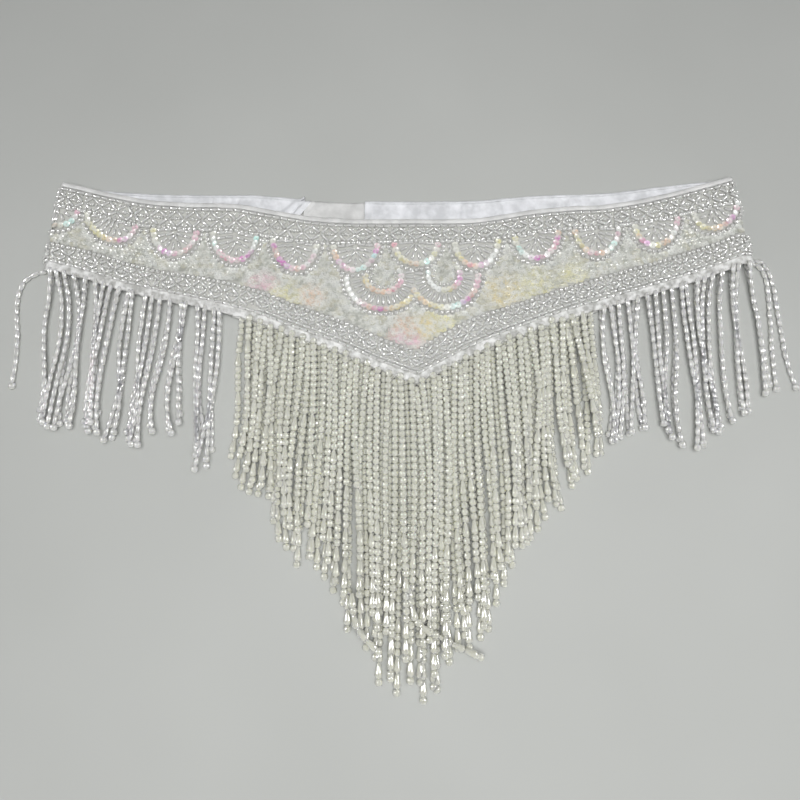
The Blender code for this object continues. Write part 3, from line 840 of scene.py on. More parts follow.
def back_tape(side, low, high):
    """Tape folded over the roots of a wing's strands."""
    node = "fringe_back_" + side
    edges = edges_of(node, WING_EDGE_HIGH, low, high)

    def place(across, down):
        u = edges[0, 0] + (edges[-1, 0] - edges[0, 0]) * across
        out, height = double(down, HEM_TAPE, LOW_TAPE_HIGH)
        return Vector((u, read(edges, u, UPPER) - out, BACK_TAPE_UNDER + height))

    shell("back_tape_" + side, 120, 22, place, TAPE, "satin", TAPE_THICK, node)


# ---- cloth inside the back

# creases of the linings, all in millimetres: x of the furrow, its width and depth, how far it
# leans to the left for each millimetre down, and how far down it reaches
Crease = namedtuple("Crease", "x width depth lean reach")
CREASES = [Crease(*row) for row in (
    (-160, 3.0, 0.3, 0.0, 12), (-146, 2.4, 0.3, 0.1, 12), (-132.6, 3.4, 0.5, 0.0, 8),
    (-121.7, 1.6, 0.5, 0.1, 8), (-110.9, 2.4, 0.8, 0.0, 8), (-105.2, 1.4, 0.7, 0.1, 7),
    (-95.5, 2.6, 0.4, -0.3, 9), (-90.5, 1.8, 0.4, 0.3, 10), (-80.6, 2.6, 0.6, -0.5, 12),
    (-73.4, 2.2, 0.6, 0.9, 16), (-66.0, 1.6, 0.8, 0.8, 20), (-15.5, 2.2, 0.4, 0.0, 20),
    (4.9, 2.8, 0.9, 0.1, 20), (16.8, 1.6, 0.5, -0.2, 14), (24.5, 1.8, 0.4, -0.3, 16),
    (43.4, 2.0, 0.9, 0.05, 20), (51.6, 1.4, 0.6, 0.0, 8), (59.5, 2.0, 0.5, -0.1, 12),
    (70.0, 2.4, -0.7, -0.1, 20), (84.0, 3.6, 0.9, -0.9, 20), (93.5, 2.0, 0.5, -0.4, 14),
    (106.2, 2.2, 0.8, 0.1, 14), (114.0, 1.8, 0.7, 0.2, 14), (119.0, 1.4, 0.5, -0.1, 10),
    (134.0, 3.0, 0.4, 0.2, 10), (151.3, 2.6, 0.4, 0.0, 10), (171.7, 3.0, 0.4, 0.1, 10),
)]


def creased(u, y, top):
    """Height of the satin's creases; they fade under the front and towards the top edge."""
    free = min(max((y - waist_edge(u) - 1.0 * MM) / (3.0 * MM), 0.0), 1.0)
    down = (top - y) / MM
    height = 0.0
    for crease in CREASES:
        aside = (u / MM - crease.x + crease.lean * (down - 6.0)) / crease.width
        if abs(aside) > 5.0:
            continue
        fade = min(down / 2.5, 1.0) * math.exp(-((down / crease.reach) ** 4))
        height += fade * crease.depth * (0.7 * math.exp(-((aside - 1.7) ** 2))
                                         - math.exp(-(aside**2)))
    return MM * height * free


def span_of(node):
    """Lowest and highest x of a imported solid."""
    places = points_of(frame["nodes"][node].data)[:, 0]
    return float(places.min()), float(places.max())


def lining(side, end_lean):
    """White satin inside one wing; end_lean slants its end beside the closure tab.

    Most of its rows lie near the top, where the creases show."""
    node = "back_lining_" + side
    low, high = span_of(node)
    edges = edges_of(node, LINING_EDGE_HIGH, low + MM, high - MM)

    def place(across, up):
        u = low + (high - low) * across
        top = read(edges, u, UPPER)
        bottom = read(edges, u, LOWER)
        y = bottom + (top - bottom) * (2.4 * up if up < 0.3 else 0.72 + 0.4 * (up - 0.3))
        near_end = max(0.0, 1.0 - (high - u) / (20.0 * MM))
        u += end_lean * near_end * (y - bottom - 46.0 * MM)
        rim = 0.35 * MM * math.exp(-(((top - y) / (0.8 * MM)) ** 2))
        return Vector((u, y + 0.3 * MM * up, LINING_TOP + rim + creased(u, y, top)))

    shell("lining_" + side, 320, 22, place, LINING, "lining_satin", LINING_THICK, node)


def tab_cloth():
    """The plain underlap between the two linings."""
    low, high = span_of("closure_tab")
    edges = edges_of("closure_tab", TAB_EDGE_HIGH, high - 30.0 * MM, high - MM)
    tree = solid("closure_tab")
    top, bottom = float(edges[0, UPPER]), float(edges[:, LOWER].mean())

    def place(across, up):
        u = low + (high - low) * across
        y = bottom + (top - bottom) * up
        above = Vector((min(max(u, low + MM), high - MM), MID_Y, OUTSIDE))
        face = tree.ray_cast(above, -UP)[0].z
        sag = 0.25 * MM * wave(u, 6.0) * wave(y, 5.0, 1.0)
        fold = math.exp(-((((u / MM + 57.0) - 0.75 * (y / MM - 140.0)) / 1.3) ** 2))
        return Vector((u, y, face + sag - 0.5 * MM * fold))

    shell("tab_cloth", 120, 40, place, SATIN, "satin", TAB_THICK, "closure_tab")


def wing(side):
    """A wing's beaded cloth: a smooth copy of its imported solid's skin, with softened edges."""
    node = "back_wing_" + side
    body = bmesh.new()
    body.from_mesh(frame["nodes"][node].data)
    bmesh.ops.remove_doubles(body, verts=body.verts, dist=TOUCHING)
    bmesh.ops.bevel(body, geom=[edge for edge in body.edges if edge.calc_face_angle(0.0) > 0.8],
                    offset=0.25 * MM, segments=2, profile=0.5, affect="EDGES", material=-1)
    dressed("wing_" + side, finished("wing_" + side, body), GROUND, "beadwork", node)


# ---- beadwork on the front

draw = random.Random(7)
DIMMEST = 0.92
SEWN_SWAY = 0.08
ARM_SWAY = 0.14


def sewn(shape, u, y, lean, height, tint, sway=0.0):
    """A bead sewn to the front, its length along lean in the plane of the cloth."""
    turn = draw.uniform(-sway, sway)
    lean = Vector((lean[0] * math.cos(turn) - lean[1] * math.sin(turn),
                   lean[0] * math.sin(turn) + lean[1] * math.cos(turn)))
    place, facing = on_front(u, y, height)
    ahead, _ = on_front(u + lean.x * 0.3 * MM, y + lean.y * 0.3 * MM, height)
    return Bead(shape, place, ahead - place, facing, tint, u=u)


def shade():
    """A slightly different brightness for each bead."""
    level = draw.uniform(DIMMEST, 1.0)
    return (level, level, level)


def width_at(table, u):
    """Distance from a border's bugles to its round beads."""
    return MM * read(table, u / MM)


def border(line, inward, widths, pitch, second_from=math.inf):
    """Beads of one border: a line of bugles, a lattice with a bead in each cell, a line of beads.

    To the right of second_from a second line of bugles runs beside the first."""
    bugles = []
    rounds = []

    def across(run, share):
        """A place from the bugle line (0) to the bead line (1)."""
        u, y = line.at(run)
        lean = line.lean(run)
        depth = BUGLE_LINE + share * width_at(widths, u)
        return Vector((u, y + inward * depth / max(lean.x, 0.3))), lean

    for run in line.steps(BUGLE_PITCH, BUGLE_PITCH / 2.0):
        place, lean = across(run, 0.0)
        bugles.append(sewn("bugle", *place, lean, BUGLE_SEAT, shade(), SEWN_SWAY))
        if place.x > second_from:
            beside = 0.3 * MM * wave(run, 16.0)
            place, lean = across(run + BUGLE_PITCH * 0.4,
                                 (SECOND_LINE + beside) / width_at(widths, place.x))
            bugles.append(sewn("bugle", *place, lean, BUGLE_SEAT, shade(), SEWN_SWAY))
    for run in line.steps(pitch, pitch / 2.0):
        u = line.at(run)[0]
        wide = width_at(widths, u)
        base = SECOND_LINE / wide if u > second_from else 0.0
        half_way = (1.0 + base) / 2.0
        place, lean = across(run, half_way)
        cell, _ = across(run + pitch / 2.0, half_way)
        rounds.append(sewn("round", *cell, lean, CELL_SEAT, shade()))
        reach = (1.0 - base) / 2.0 - LATTICE_CLEAR / wide
        for aside, slant in SEED_SPOTS:
            spot, _ = across(run + aside * pitch, half_way + slant * reach)
            rounds.append(sewn("seed", *spot, lean, SEED_SEAT, shade()))
        for side, slant in ((-1.0, -1.0), (-1.0, 1.0), (1.0, -1.0), (1.0, 1.0)):
            end, _ = across(run + side * pitch / 2.0 + draw.uniform(-ARM_STRAY, ARM_STRAY),
                            half_way + slant * reach)
            away = end - place
            lift = 0.3 * MM * (side * slant > 0.0)
            middle = (place + end) / 2.0 + Vector((draw.uniform(-ARM_STRAY, ARM_STRAY), 0.0))
            arm = sewn("arm", *middle, away, BUGLE_SEAT + lift, shade(), ARM_SWAY)
            bugles.append(arm._replace(stretch=(away.length - ARM_CLEAR) / ARM_LONG))
    for run in line.steps(ROUND_PITCH):
        place, lean = across(run, 1.0)
        rounds.append(sewn("round", *place, lean, ROUND_SEAT, shade()))
    return bugles, rounds


def bead_line(u):
    """y of the middle of the waist border's line of round beads."""
    return waist_edge(u) - BUGLE_LINE - width_at(WAIST_BORDER, u)


def scallop_point(middle, half, drop, turn):
    """Place on a half ellipse under the bead line, from its right end (0) to its left (pi)."""
    u = middle + half * math.cos(turn)
    return u, bead_line(u) - 0.6 * MM - drop * math.sin(turn)


def even_turns(place, pitch, first, last):
    """Angles from first to last that step evenly along place(turn)."""
    turns = np.linspace(first, last, 90)
    points = np.array([place(turn) for turn in turns])
    run = np.concatenate([[0.0], np.cumsum(np.hypot(*np.diff(points, axis=0).T))])
    count = max(2, round(run[-1] / pitch))
    return list(np.interp(np.linspace(0.0, run[-1], count + 1), run, turns))


def row_round(place, kind, turns, radial=False, tints=""):
    """Beads evenly along a curved row; tints run along the row from its left end."""
    beads = []
    turns = even_turns(place, kind.pitch, *turns)
    for k, turn in enumerate(turns):
        u, y = place(turn)
        ahead = place(turn + 0.02)
        lean = Vector((ahead[0] - u, ahead[1] - y)).normalized()
        if radial:
            lean = Vector((-lean.y, lean.x))
        if not tints:
            beads.append(sewn(kind.shape, u, y, lean, kind.seat, shade(), SEWN_SWAY))
            continue
        at = (1.0 - k / (len(turns) - 1)) * (len(tints) - 1)
        following = tints[min(int(at) + 1, len(tints) - 1)]
        tint = Vector(TINTS[tints[int(at)]]).lerp(Vector(TINTS[following]), at % 1.0)
        bead = sewn(kind.shape, u, y, lean, kind.seat, tuple(tint * draw.uniform(0.80, 1.0)))
        glints = tints[round(at)] in GLINTS and abs(at - round(at)) < GLINT_REACH
        beads.append(glinting(bead) if glints else tipped(bead))
    return beads


def tipped(bead):
    """The same sequin, tipped over its neighbour and a little at random."""
    tip = Vector((draw.uniform(-RIM_STRAY, RIM_STRAY), draw.uniform(-RIM_STRAY, RIM_STRAY), 0.0))
    facing = bead.facing + tip + RIM_TILT * bead.along.normalized()
    return bead._replace(facing=facing.normalized())


def glinting(bead):
    """The same sequin, tipped so that it throws the nearer lamp's light into the camera."""
    lamp_at = LEFT_LAMP if bead.place.x < 0.0 else RIGHT_LAMP
    to_lamp = (lamp_at - bead.place).normalized()
    to_camera = (CAMERA_AT - bead.place).normalized()
    return bead._replace(facing=(to_lamp + to_camera).normalized())


# the rows of scallops and fans: a bead, its pitch and the height of its middle
Kind = namedtuple("Kind", "shape pitch seat")
ROUNDS = Kind("round", ROUND_PITCH, ROUND_SEAT)
RIM = Kind("sequin", RIM_PITCH, SEQUIN_SEAT)
OUTER_SPOKES = Kind("bugle", 3.9 * MM, BUGLE_SEAT)
INNER_SPOKES = Kind("bugle", 3.3 * MM, BUGLE_SEAT)
FAN_SPOKES = Kind("arm", 3.3 * MM, BUGLE_SEAT)
CORE = Kind("seed", 2.8 * MM, ROUND_SEAT - 0.4 * MM)

# scallops by their place from the middle one: depth, tints of the rim from its left end, half
# width and shift, in millimetres
Scallop = namedtuple("Scallop", "drop rim half shift", defaults=(18.2, 0.0))
SCALLOPS = {
    -6: Scallop(19, "wwwiiioccwp"),
    -5: Scallop(19, "iiyyygoomwpp", 20.2, -2.9),
    -4: Scallop(22, "yiiwmvpirwpp"),
    -3: Scallop(25, "iwcpprppmmwwc"),
    -2: Scallop(24, "imymmvopwpwi"),
    -1: Scallop(23, "ioovppwcwpcmp"),
    0: Scallop(20, "riyygoocwyip"),
    1: Scallop(22, "iiygromwwwiy"),
    2: Scallop(22.5, "yicwwmpwprmo"),
    3: Scallop(22.5, "oyygprowcwpw"),
    4: Scallop(22.5, "iyomwyoowwpp"),
    5: Scallop(20, "iiyygoopmwpw"),
    6: Scallop(17, "iyywiiwwww"),
}
SPOKE_TURNS = (0.1, math.pi - 0.1)
RIM_TURNS = (0.12, math.pi - 0.12)


def scallops():
    """Half ellipses that hang from the waist border."""
    rounds = []
    bugles = []
    rims = []
    for k, scallop in SCALLOPS.items():
        middle = APEX_X + k * SCALLOP_PITCH + scallop.shift * MM

        def ring(inset):
            half = scallop.half * MM - inset
            drop = scallop.drop * MM - 1.1 * inset
            return lambda turn: scallop_point(middle, half, drop, turn)

        rounds += row_round(ring(0.0), ROUNDS, (0.0, math.pi))
        rims += row_round(ring(RIM_IN), RIM, RIM_TURNS, tints=scallop.rim)
        bugles += row_round(ring(RIM_IN + 5.2 * MM), OUTER_SPOKES, SPOKE_TURNS, True)
        bugles += row_round(ring(RIM_IN + 10.2 * MM), INNER_SPOKES, SPOKE_TURNS, True)
    return on_belt(rounds), on_belt(bugles), on_belt(rims)


def on_belt(beads):
    """The beads that do not run out beyond the side folds."""
    limit = fold_start(MID_Y, 1) + FOLD_ARC * FOLD_END
    return [bead for bead in beads if abs(bead.u) < limit]


# fans: middle, half width and depth in millimetres, tints of their two rows of sequins
Fan = namedtuple("Fan", "u y half drop outer inner")
FANS = (
    Fan(-6.5, 90.0, 27.0, 25.5, "iiwwwwpomoggyomwrp", "igoorpw"),
    Fan(32.6, 92.0, 25.8, 26.2, "ipopyogywcmopppm", "cwwwypmi"),
)
FAN_MEETING = 12.0 * MM
FAN_TURNS = (-0.45, math.pi + 0.45)
FAN_CORE = 0.28


def fans():
    """Two fans of beadwork in the middle of the front."""
    rounds = []
    bugles = []
    rims = []
    for fan in FANS:
        def ring(inset):
            return lambda turn: (fan.u * MM + (fan.half * MM - inset) * math.cos(turn),
                                 fan.y * MM - (fan.drop * MM - inset) * math.sin(turn))

        for kept, inset, kind, radial, tints in ((rounds, 0.0, ROUNDS, False, ""),
                                                 (rims, 3.6 * MM, RIM, False, fan.outer),
                                                 (bugles, 9.6 * MM, FAN_SPOKES, True, ""),
                                                 (rims, 15.4 * MM, RIM, False, fan.inner),
                                                 (rounds, 19.0 * MM, CORE, False, "")):
            made = row_round(ring(inset), kind, FAN_TURNS, radial, tints)
            kept.extend(bead for bead in made if fan_shows(bead, fan))
    return rounds, bugles, rims


def fan_shows(bead, fan):
    """Whether a bead of a fan is clear of the other fan and of the scallops above."""
    near_side = (bead.place.x - FAN_MEETING) * (fan.u * MM - FAN_MEETING) > 0.0
    return near_side and not in_scallop(bead.place.x, bead.place.y)


def in_scallop(u, y):
    nearest = round((u - APEX_X) / SCALLOP_PITCH)
    if abs(nearest) > max(SCALLOPS):
        return False
    scallop = SCALLOPS[nearest]
    middle = APEX_X + nearest * SCALLOP_PITCH + scallop.shift * MM
    away = (u - middle) / (scallop.half * MM + MM)
    down = (bead_line(u) - y) / (scallop.drop * MM + 2.2 * MM)
    return math.hypot(away, down) < 1.0


def covered(u, y):
    """Whether a scallop or a fan covers this place."""
    if in_scallop(u, y):
        return True
    for fan in FANS:
        across = (u - fan.u * MM) / (fan.half * MM)
        up = (y - fan.y * MM) / (fan.drop * MM)
        above = abs(math.atan2(across, up)) < math.pi / 2.0 + FAN_TURNS[0]
        if not above and FAN_CORE < math.hypot(across, up) < 1.06:
            return True
    return False


# warmer patches of the ground: place and radius in millimetres, and tint
PATCHES = (
    (-84, 84, 13, "p"), (-70, 74, 16, "y"), (-52, 78, 10, "o"), (70, 80, 16, "g"),
    (92, 84, 16, "y"), (116, 92, 12, "y"), (30, 60, 14, "y"), (20, 55, 12, "g"), (7, 56, 11, "o"),
    (2, 49, 7, "p"), (12, 46, 9, "p"),
)
GROUND_TINTS = ((0.50, 0.51, 0.46), (0.59, 0.60, 0.55), (0.72, 0.73, 0.70), (0.58, 0.57, 0.47))
GROUND_ROWS = 46
GROUND_ROW_PITCH = 2.7 * MM
GROUND_PITCH = 3.0 * MM
GROUND_FROM = -223.0 * MM
GROUND_TO = 228.0 * MM
GROUND_STRAY = 0.35


def ground_tint(u, y):
    """Pale sequins, warmer in some patches."""
    level = draw.uniform(0.94, 1.06)
    tint = Vector(draw.choice(GROUND_TINTS))
    for patch_u, patch_y, radius, letter in PATCHES:
        near = 1.0 - math.hypot(u - patch_u * MM, y - patch_y * MM) / (radius * MM)
        if near > 0.0:
            tint = tint.lerp(Vector(TINTS[letter]), min(1.0, near * 1.8) * draw.random() ** 0.6)
    return tuple(min(channel * level, 1.0) for channel in tint)


def ground_hem(u):
    """y of the lower limit of the ground's sequins."""
    slope = (hem_edge(u + MM) - hem_edge(u - MM)) / (2.0 * MM)
    depth = BUGLE_LINE + width_at(HEM_BORDER, u) + 2.2 * MM
    return hem_edge(u) + depth * math.hypot(1.0, slope)


def ground_sequins():
    """Overlapping sequins over the rest of the front."""
    beads = []
    for row in range(GROUND_ROWS):
        line_down = BUGLE_LINE + 2.6 * MM + row * GROUND_ROW_PITCH
        u = GROUND_FROM + (row % 2) * GROUND_PITCH / 2.0
        while u < GROUND_TO:
            spot = u + draw.uniform(-GROUND_STRAY, GROUND_STRAY) * MM
            y = waist_edge(spot) - line_down + draw.uniform(-GROUND_STRAY, GROUND_STRAY) * MM
            u += GROUND_PITCH
            if y > bead_line(spot) - 2.4 * MM or y < ground_hem(spot) or covered(spot, y):
                continue
            bead = sewn("sequin", spot, y, (1.0, 0.0), SEQUIN_SEAT - 0.4 * MM, ground_tint(spot, y))
            tip = Vector((draw.uniform(-0.06, 0.06), draw.uniform(0.02, 0.14), 1.0))
            beads.append(bead._replace(facing=(bead.facing + tip - UP).normalized()))
    return beads


# ---- fringe

# tips of the strands, x and y
LEFT_TIPS = ((-226, -6), (-214, -12), (-190, -16), (-168, -20), (-150, -25), (-138, -13),
             (-122, -34), (-108, -40))
RIGHT_TIPS = ((130, -26), (150, -16), (168, -18), (181, -27), (200, -16), (220, -6), (233, 8))
CENTRE_TIPS = ((-103, -24), (-92, -46), (-78, -60), (-64, -86), (-40, -102), (-28, -126),
               (-14, -152), (0, -164), (14, -170), (26, -162), (40, -142), (50, -140),
               (60, -110), (86, -74), (100, -62), (113, -46), (128, -29))

# one row of strands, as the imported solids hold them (millimetres, before the shift to the middle)
Row = namedtuple("Row", "first last count rest scatter slant tips shorten stagger "
                        "over thick bunching straying parting uneven")
LOW_REST = 2.2
HIGH_REST = 6.1
FRONT_REST = 4.9
BACK_REST = 1.8
ROWS = {
    "fringe_front_left": Row(-222, -110, 21, FRONT_REST, 0.9, 3.0, LEFT_TIPS, 0, 7,
                             0.9, 3.2, 4.5, 7.0, 0.0, 1.9),
    "fringe_front_right": Row(133, 228, 18, FRONT_REST, 0.9, 3.0, RIGHT_TIPS, 0, 7,
                              0.9, 3.2, 4.0, 6.0, 0.0, 1.4),
    "fringe_centre_lower": Row(-97.7, 125.7, 50, LOW_REST, 0.3, 2.0, CENTRE_TIPS, 0, 12,
                               0.0, 4.2, 1.2, 2.0, 0.0, 0.0),
    "fringe_centre_upper": Row(-90.9, 118.9, 47, HIGH_REST, 0.3, 2.0, CENTRE_TIPS, 8, 26,
                               4.4, 4.2, 1.2, 1.6, 0.0, 0.0),
    "fringe_back_left": Row(-222, -110, 21, BACK_REST, 0.9, 3.0, LEFT_TIPS, 2, 12,
                            0.0, 3.2, 4.5, 7.0, 9.0, 1.9),
    "fringe_back_right": Row(133, 228, 18, BACK_REST, 0.9, 3.0, RIGHT_TIPS, 2, 12,
                             0.0, 3.2, 4.0, 6.0, 7.0, 1.4),
}
MIDDLE = Vector((-0.75, -1.53, 0.0))

# strands laid one by one: x and y at their row's rest height, or x, y and z
STRAYS = {
    "fringe_centre_upper": (
        ((8.0, -103.0, 8.2), (10.2, -114.0, 9.6), (14.3, -124.5, 9.8), (31.5, -134.5, 8.0),
         (50.5, -143.3, 5.4)),
        ((-24.0, -108.0, 8.2), (-22.5, -120.0, 9.4), (-18.0, -130.0, 9.0), (-7.1, -140.6, 7.0)),
    ),
    "fringe_back_left": (
        ((-226.5, 95.0), (-234.5, 92.5), (-241.5, 86.0), (-243.5, 70.0), (-239.5, 44.0),
         (-239.0, 15.0)),
    ),
    "fringe_back_right": (
        ((231.0, 100.5), (238.5, 98.0), (242.0, 88.0), (241.0, 62.0), (239.0, 38.0), (238.5, 13.0)),
        ((231.0, 100.5), (240.5, 101.0), (245.5, 88.0), (246.5, 60.0), (247.5, 34.0),
         (251.5, 14.0)),
    ),
}
ABOVE_WAIST = 0.2
# the back strands spread a little wider; some of the upper row lie loose or come from under
BEHIND = 1.007
LOOSE_EVERY = 6
LOOSE_FIRST = 3
LOOSE_SWING = 2.8
LOOSE_RISE = 3.4
UNDER_EVERY = 3
UNDER_ROOT = 4.0
UNDER_RISE = 18.0
BOW = 1.6
BOW_WAVE = 55.0
RIPPLE = 0.9
RIPPLE_WAVE = 12.0
# a bead lies along the line between two places this far above and below its middle
HALF_SPAN = 0.6


def smooth(table, x):
    """y at x on the smooth curve through a table of tips."""
    places, values = zip(*table)
    if x <= places[0]:
        return values[0]
    if x >= places[-1]:
        return values[-1]
    k = max(i for i, place in enumerate(places) if place <= x)
    span = places[k + 1] - places[k]

    def slope(i):
        low = max(i - 1, 0)
        high = min(i + 1, len(places) - 1)
        return (values[high] - values[low]) / (places[high] - places[low])

    t = (x - places[k]) / span
    start = (2 * t**3 - 3 * t**2 + 1) * values[k] + (t**3 - 2 * t**2 + t) * span * slope(k)
    end = (3 * t**2 - 2 * t**3) * values[k + 1] + (t**3 - t**2) * span * slope(k + 1)
    return start + end


def scatter(index, channel):
    """The same repeatable value from -1 to 1 that sets the strands of the solids apart."""
    mixed = index * 0.6180340 + channel * 0.7548777 + index * index * 0.0931
    return 2.0 * (mixed % 1.0) - 1.0


def wander(row, index, share):
    """How far a strand strays sideways, a share of the way down: neighbours stray in bunches."""
    bunch = index // 3 + row.count
    lean = row.bunching * scatter(bunch, 5) + row.straying * scatter(index, 6)
    swing = 0.55 * row.straying * scatter(index, 7)
    back = 0.45 * row.straying * scatter(index, 8)
    apart = row.parting * max(scatter(index, 11), -0.2) * share**3
    return (lean * share**1.6 + swing * math.sin(math.pi * share)
            + back * math.sin(2.0 * math.pi * share) * share + apart)


def tape_top(x):
    """Height of the hem tape's upper side for an x before the shift, in millimetres."""
    u = (x - MIDDLE.x) * MM
    return on_front(u, hem_edge(u) - 0.6 * HEM_TAPE, 1.4 * MM)[0].z / MM


def strand_points(row, index, hem_at):
    """Middles of a strand from its root to its tip, in millimetres before the shift.

    In the dense upper row every third strand comes up from beneath, and the other two part to
    let it through. Every sixth one lies loose on top of the rest and swings further out."""
    pitch = (row.last - row.first) / (row.count - 1)
    x = row.first + pitch * index + row.scatter * scatter(index, 1)
    x += row.uneven * scatter(index, 10)
    y = hem_at(x)
    shorter = row.shorten + row.stagger * (0.5 + 0.5 * scatter(index, 2))
    sway = row.slant * math.sin(x / BOW_WAVE) + row.scatter * scatter(index, 3)
    length = y - smooth(row.tips, x) - shorter
    wave = math.sin(x / BOW_WAVE * 2.0 * math.pi)
    order = index % UNDER_EVERY
    dense = row.rest == HIGH_REST
    aside = (order - 0.5) * 0.5 * pitch if dense and order < 2 else 0.0
    if dense and order == 2:
        points = [Vector((x, y - 1.5, UNDER_ROOT)), Vector((x, y - 4.0, UNDER_ROOT))]
    elif row.over > 0.0:
        top = tape_top(x) + row.thick / 2.0
        begin = row.over * (0.6 + 0.4 * scatter(index, 9))
        points = [Vector((x + aside, y + begin, top - 0.3)), Vector((x + aside, y - 0.4, top - 0.5))]
    else:
        points = [Vector((x, y + 1.5, row.rest)), Vector((x, y, row.rest))]
    loose = dense and index % LOOSE_EVERY == LOOSE_FIRST
    for share in (UNDER_RISE / length, 0.36, 0.52, 0.68, 0.84, 1.0):
        away = BOW * wave * math.sin(math.pi * share)
        away += wander(row, index, share) * (LOOSE_SWING if loose else 1.0)
        away += RIPPLE * math.sin(x / RIPPLE_WAVE) * math.sin(2.0 * math.pi * share)
        away += sway * share + aside * max(0.0, 1.0 - share * 3.0)
        rise = LOOSE_RISE * min(1.0, 2.5 * share) if loose else 0.0
        points.append(Vector((x + away, y - length * share, row.rest + rise)))
    if row.parting > 0.0:
        return [Vector((point.x * BEHIND, point.y, point.z)) for point in points]
    return points


def hanging(points):
    """A smooth walk down a strand: points every fraction of a millimetre, and their run."""
    walk = []
    for k in range(len(points) - 1):
        before = points[max(k - 1, 0)]
        after = points[min(k + 2, len(points) - 1)]
        for t in np.linspace(0.0, 1.0, 24, endpoint=False):
            here = 0.5 * (2.0 * points[k] + (points[k + 1] - before) * t
                          + (2.0 * before - 5.0 * points[k] + 4.0 * points[k + 1] - after) * t**2
                          + (3.0 * points[k] - before - 3.0 * points[k + 1] + after) * t**3)
            walk.append(here)
    walk = np.array([*walk, points[-1]])
    run = np.concatenate([[0.0], np.cumsum(np.linalg.norm(np.diff(walk, axis=0), axis=1))])
    return walk, run


def strung(points, pattern):
    """Beads along a whole strand from its tip up; pattern(k) names each one and its length."""
    walk, run = hanging(points)

    def at(far):
        return Vector([np.interp(far, run, walk[:, i]) for i in range(3)])

    chosen = [pattern(0)]
    total = chosen[0][1]
    while total < run[-1]:
        chosen.append(pattern(len(chosen)))
        total += chosen[-1][1]
    if total - run[-1] > chosen[-1][1] / 2.0:
        total -= chosen.pop()[1]
    ease = run[-1] / total
    left = run[-1]
    beads = []
    for shape, length in chosen:
        middle = left - length * ease / 2.0
        along = at(middle + HALF_SPAN) - at(middle - HALF_SPAN)
        wobble = Vector((draw.uniform(-0.15, 0.15), 0.0, draw.uniform(-0.05, 0.1)))
        beads.append(Bead(shape, (at(middle) + wobble - MIDDLE) * MM, along, UP, shade()))
        left -= length * ease
    return beads


CENTRE_ENDS = ("pearl", "drop", "drop", "pearl", "pearl", "pearl", "pearl", "drop",
               "pearl", "pearl", "pearl", "pearl", "drop")


def centre_pattern(shift):
    """From the tip: a pearl, two drops, then pearls with a drop now and then."""
    def pattern(k):
        place = k + (shift if k > 2 else 0)
        shape = CENTRE_ENDS[place] if place < len(CENTRE_ENDS) else "pearl"
        return shape, (DROP_LONG if shape == "drop" else PEARL_PITCH) / MM
    return pattern


def crossing_pattern(k):
    """From the tip: a pearl, two drops, and then pearls and drops by turns."""
    return centre_pattern(0)(k if k < 3 else k % 2)


def side_pattern(k):
    """From the tip: one round pearl, then rice pearls."""
    return ("pearl", PEARL_PITCH / MM) if k == 0 else ("rice", RICE_PITCH / MM)


def fringe_hem(node):
    """y of the strands' roots for an x, both in millimetres before the shift."""
    if not node.startswith("fringe_back"):
        return lambda x: (hem_edge((x - MIDDLE.x) * MM) - HEM_TAPE - GAP) / MM + MIDDLE.y
    tree = solid(node)

    def back(x):
        above = Vector(((x - MIDDLE.x) * MM, ABOVE_WAIST, WING_EDGE_HIGH))
        return tree.ray_cast(above, -TO_WAIST)[0].y / MM + MIDDLE.y - HEM_TAPE / MM
    return back


def fringes():
    for node, row in ROWS.items():
        centre = "centre" in node
        hem_at = fringe_hem(node)
        beads = []
        for index in range(row.count):
            points = strand_points(row, index, hem_at)
            pattern = centre_pattern(draw.choice((0, 0, 1, 2))) if centre else side_pattern
            beads += strung(points, pattern)
        for strand in STRAYS.get(node, ()):
            points = [Vector((*point, row.rest)[:3]) for point in strand]
            beads += strung(points, crossing_pattern if centre else side_pattern)
        joined(node.replace("fringe", "pearls"), beads, IVORY if centre else RICE,
               "ivory_pearls" if centre else "rice_pearls", node)


# ---- the whole belt

Cut = namedtuple("Cut", "width length area held rests_on carries", defaults=((),))
CUTS = {
    "front_cloth": Cut(135, 480, 33600, "laid", ("lining_left", "lining_right", "tab_cloth"),
                       ("waist_border_bugles", "waist_border_beads", "hem_border_bugles",
                        "hem_border_beads", "scallop_beads", "scallop_bugles",
                        "scallop_sequins", "fan_beads", "fan_bugles", "fan_sequins",
                        "ground_sequins")),
    "wing_left": Cut(63, 168, 9400, "laid", ("floor",)),
    "wing_right": Cut(69, 254, 13800, "laid", ("floor",)),
    "lining_left": Cut(63, 162, 8250, "laid", ("wing_left",)),
    "lining_right": Cut(69, 242, 13100, "laid", ("wing_right",)),
    "tab_cloth": Cut(61, 72, 4380, "laid", ("floor",)),
    "front_waist_binding": Cut(10, 480, 3900, "folded", ("front_cloth",)),
    "back_binding_left": Cut(10, 163, 1140, "folded", ("wing_left",)),
    "back_binding_right": Cut(10, 247, 1730, "folded", ("wing_right",)),
    "front_hem_tape": Cut(13, 502, 6450, "folded", ("front_cloth",),
                          ("pearls_front_left", "pearls_front_right", "pearls_centre_upper")),
    "low_hem_tape": Cut(11, 254, 2770, "folded", ("floor",), ("pearls_centre_lower",)),
    "back_tape_left": Cut(11, 172, 1880, "folded", ("floor",), ("pearls_back_left",)),
    "back_tape_right": Cut(11, 262, 2860, "folded", ("floor",), ("pearls_back_right",)),
}


def declare_cuts():
    """Flat sizes of the cloth, in millimetres and square millimetres, as a maker cuts it."""
    pieces = bpy.data.objects
    for name, cut in CUTS.items():
        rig.sheet(pieces[name], flat=(cut.width * MM, cut.length * MM), held=cut.held,
                 rests_on=cut.rests_on, area=cut.area * MM * MM,
                 with_pieces=[pieces[other] for other in cut.carries])


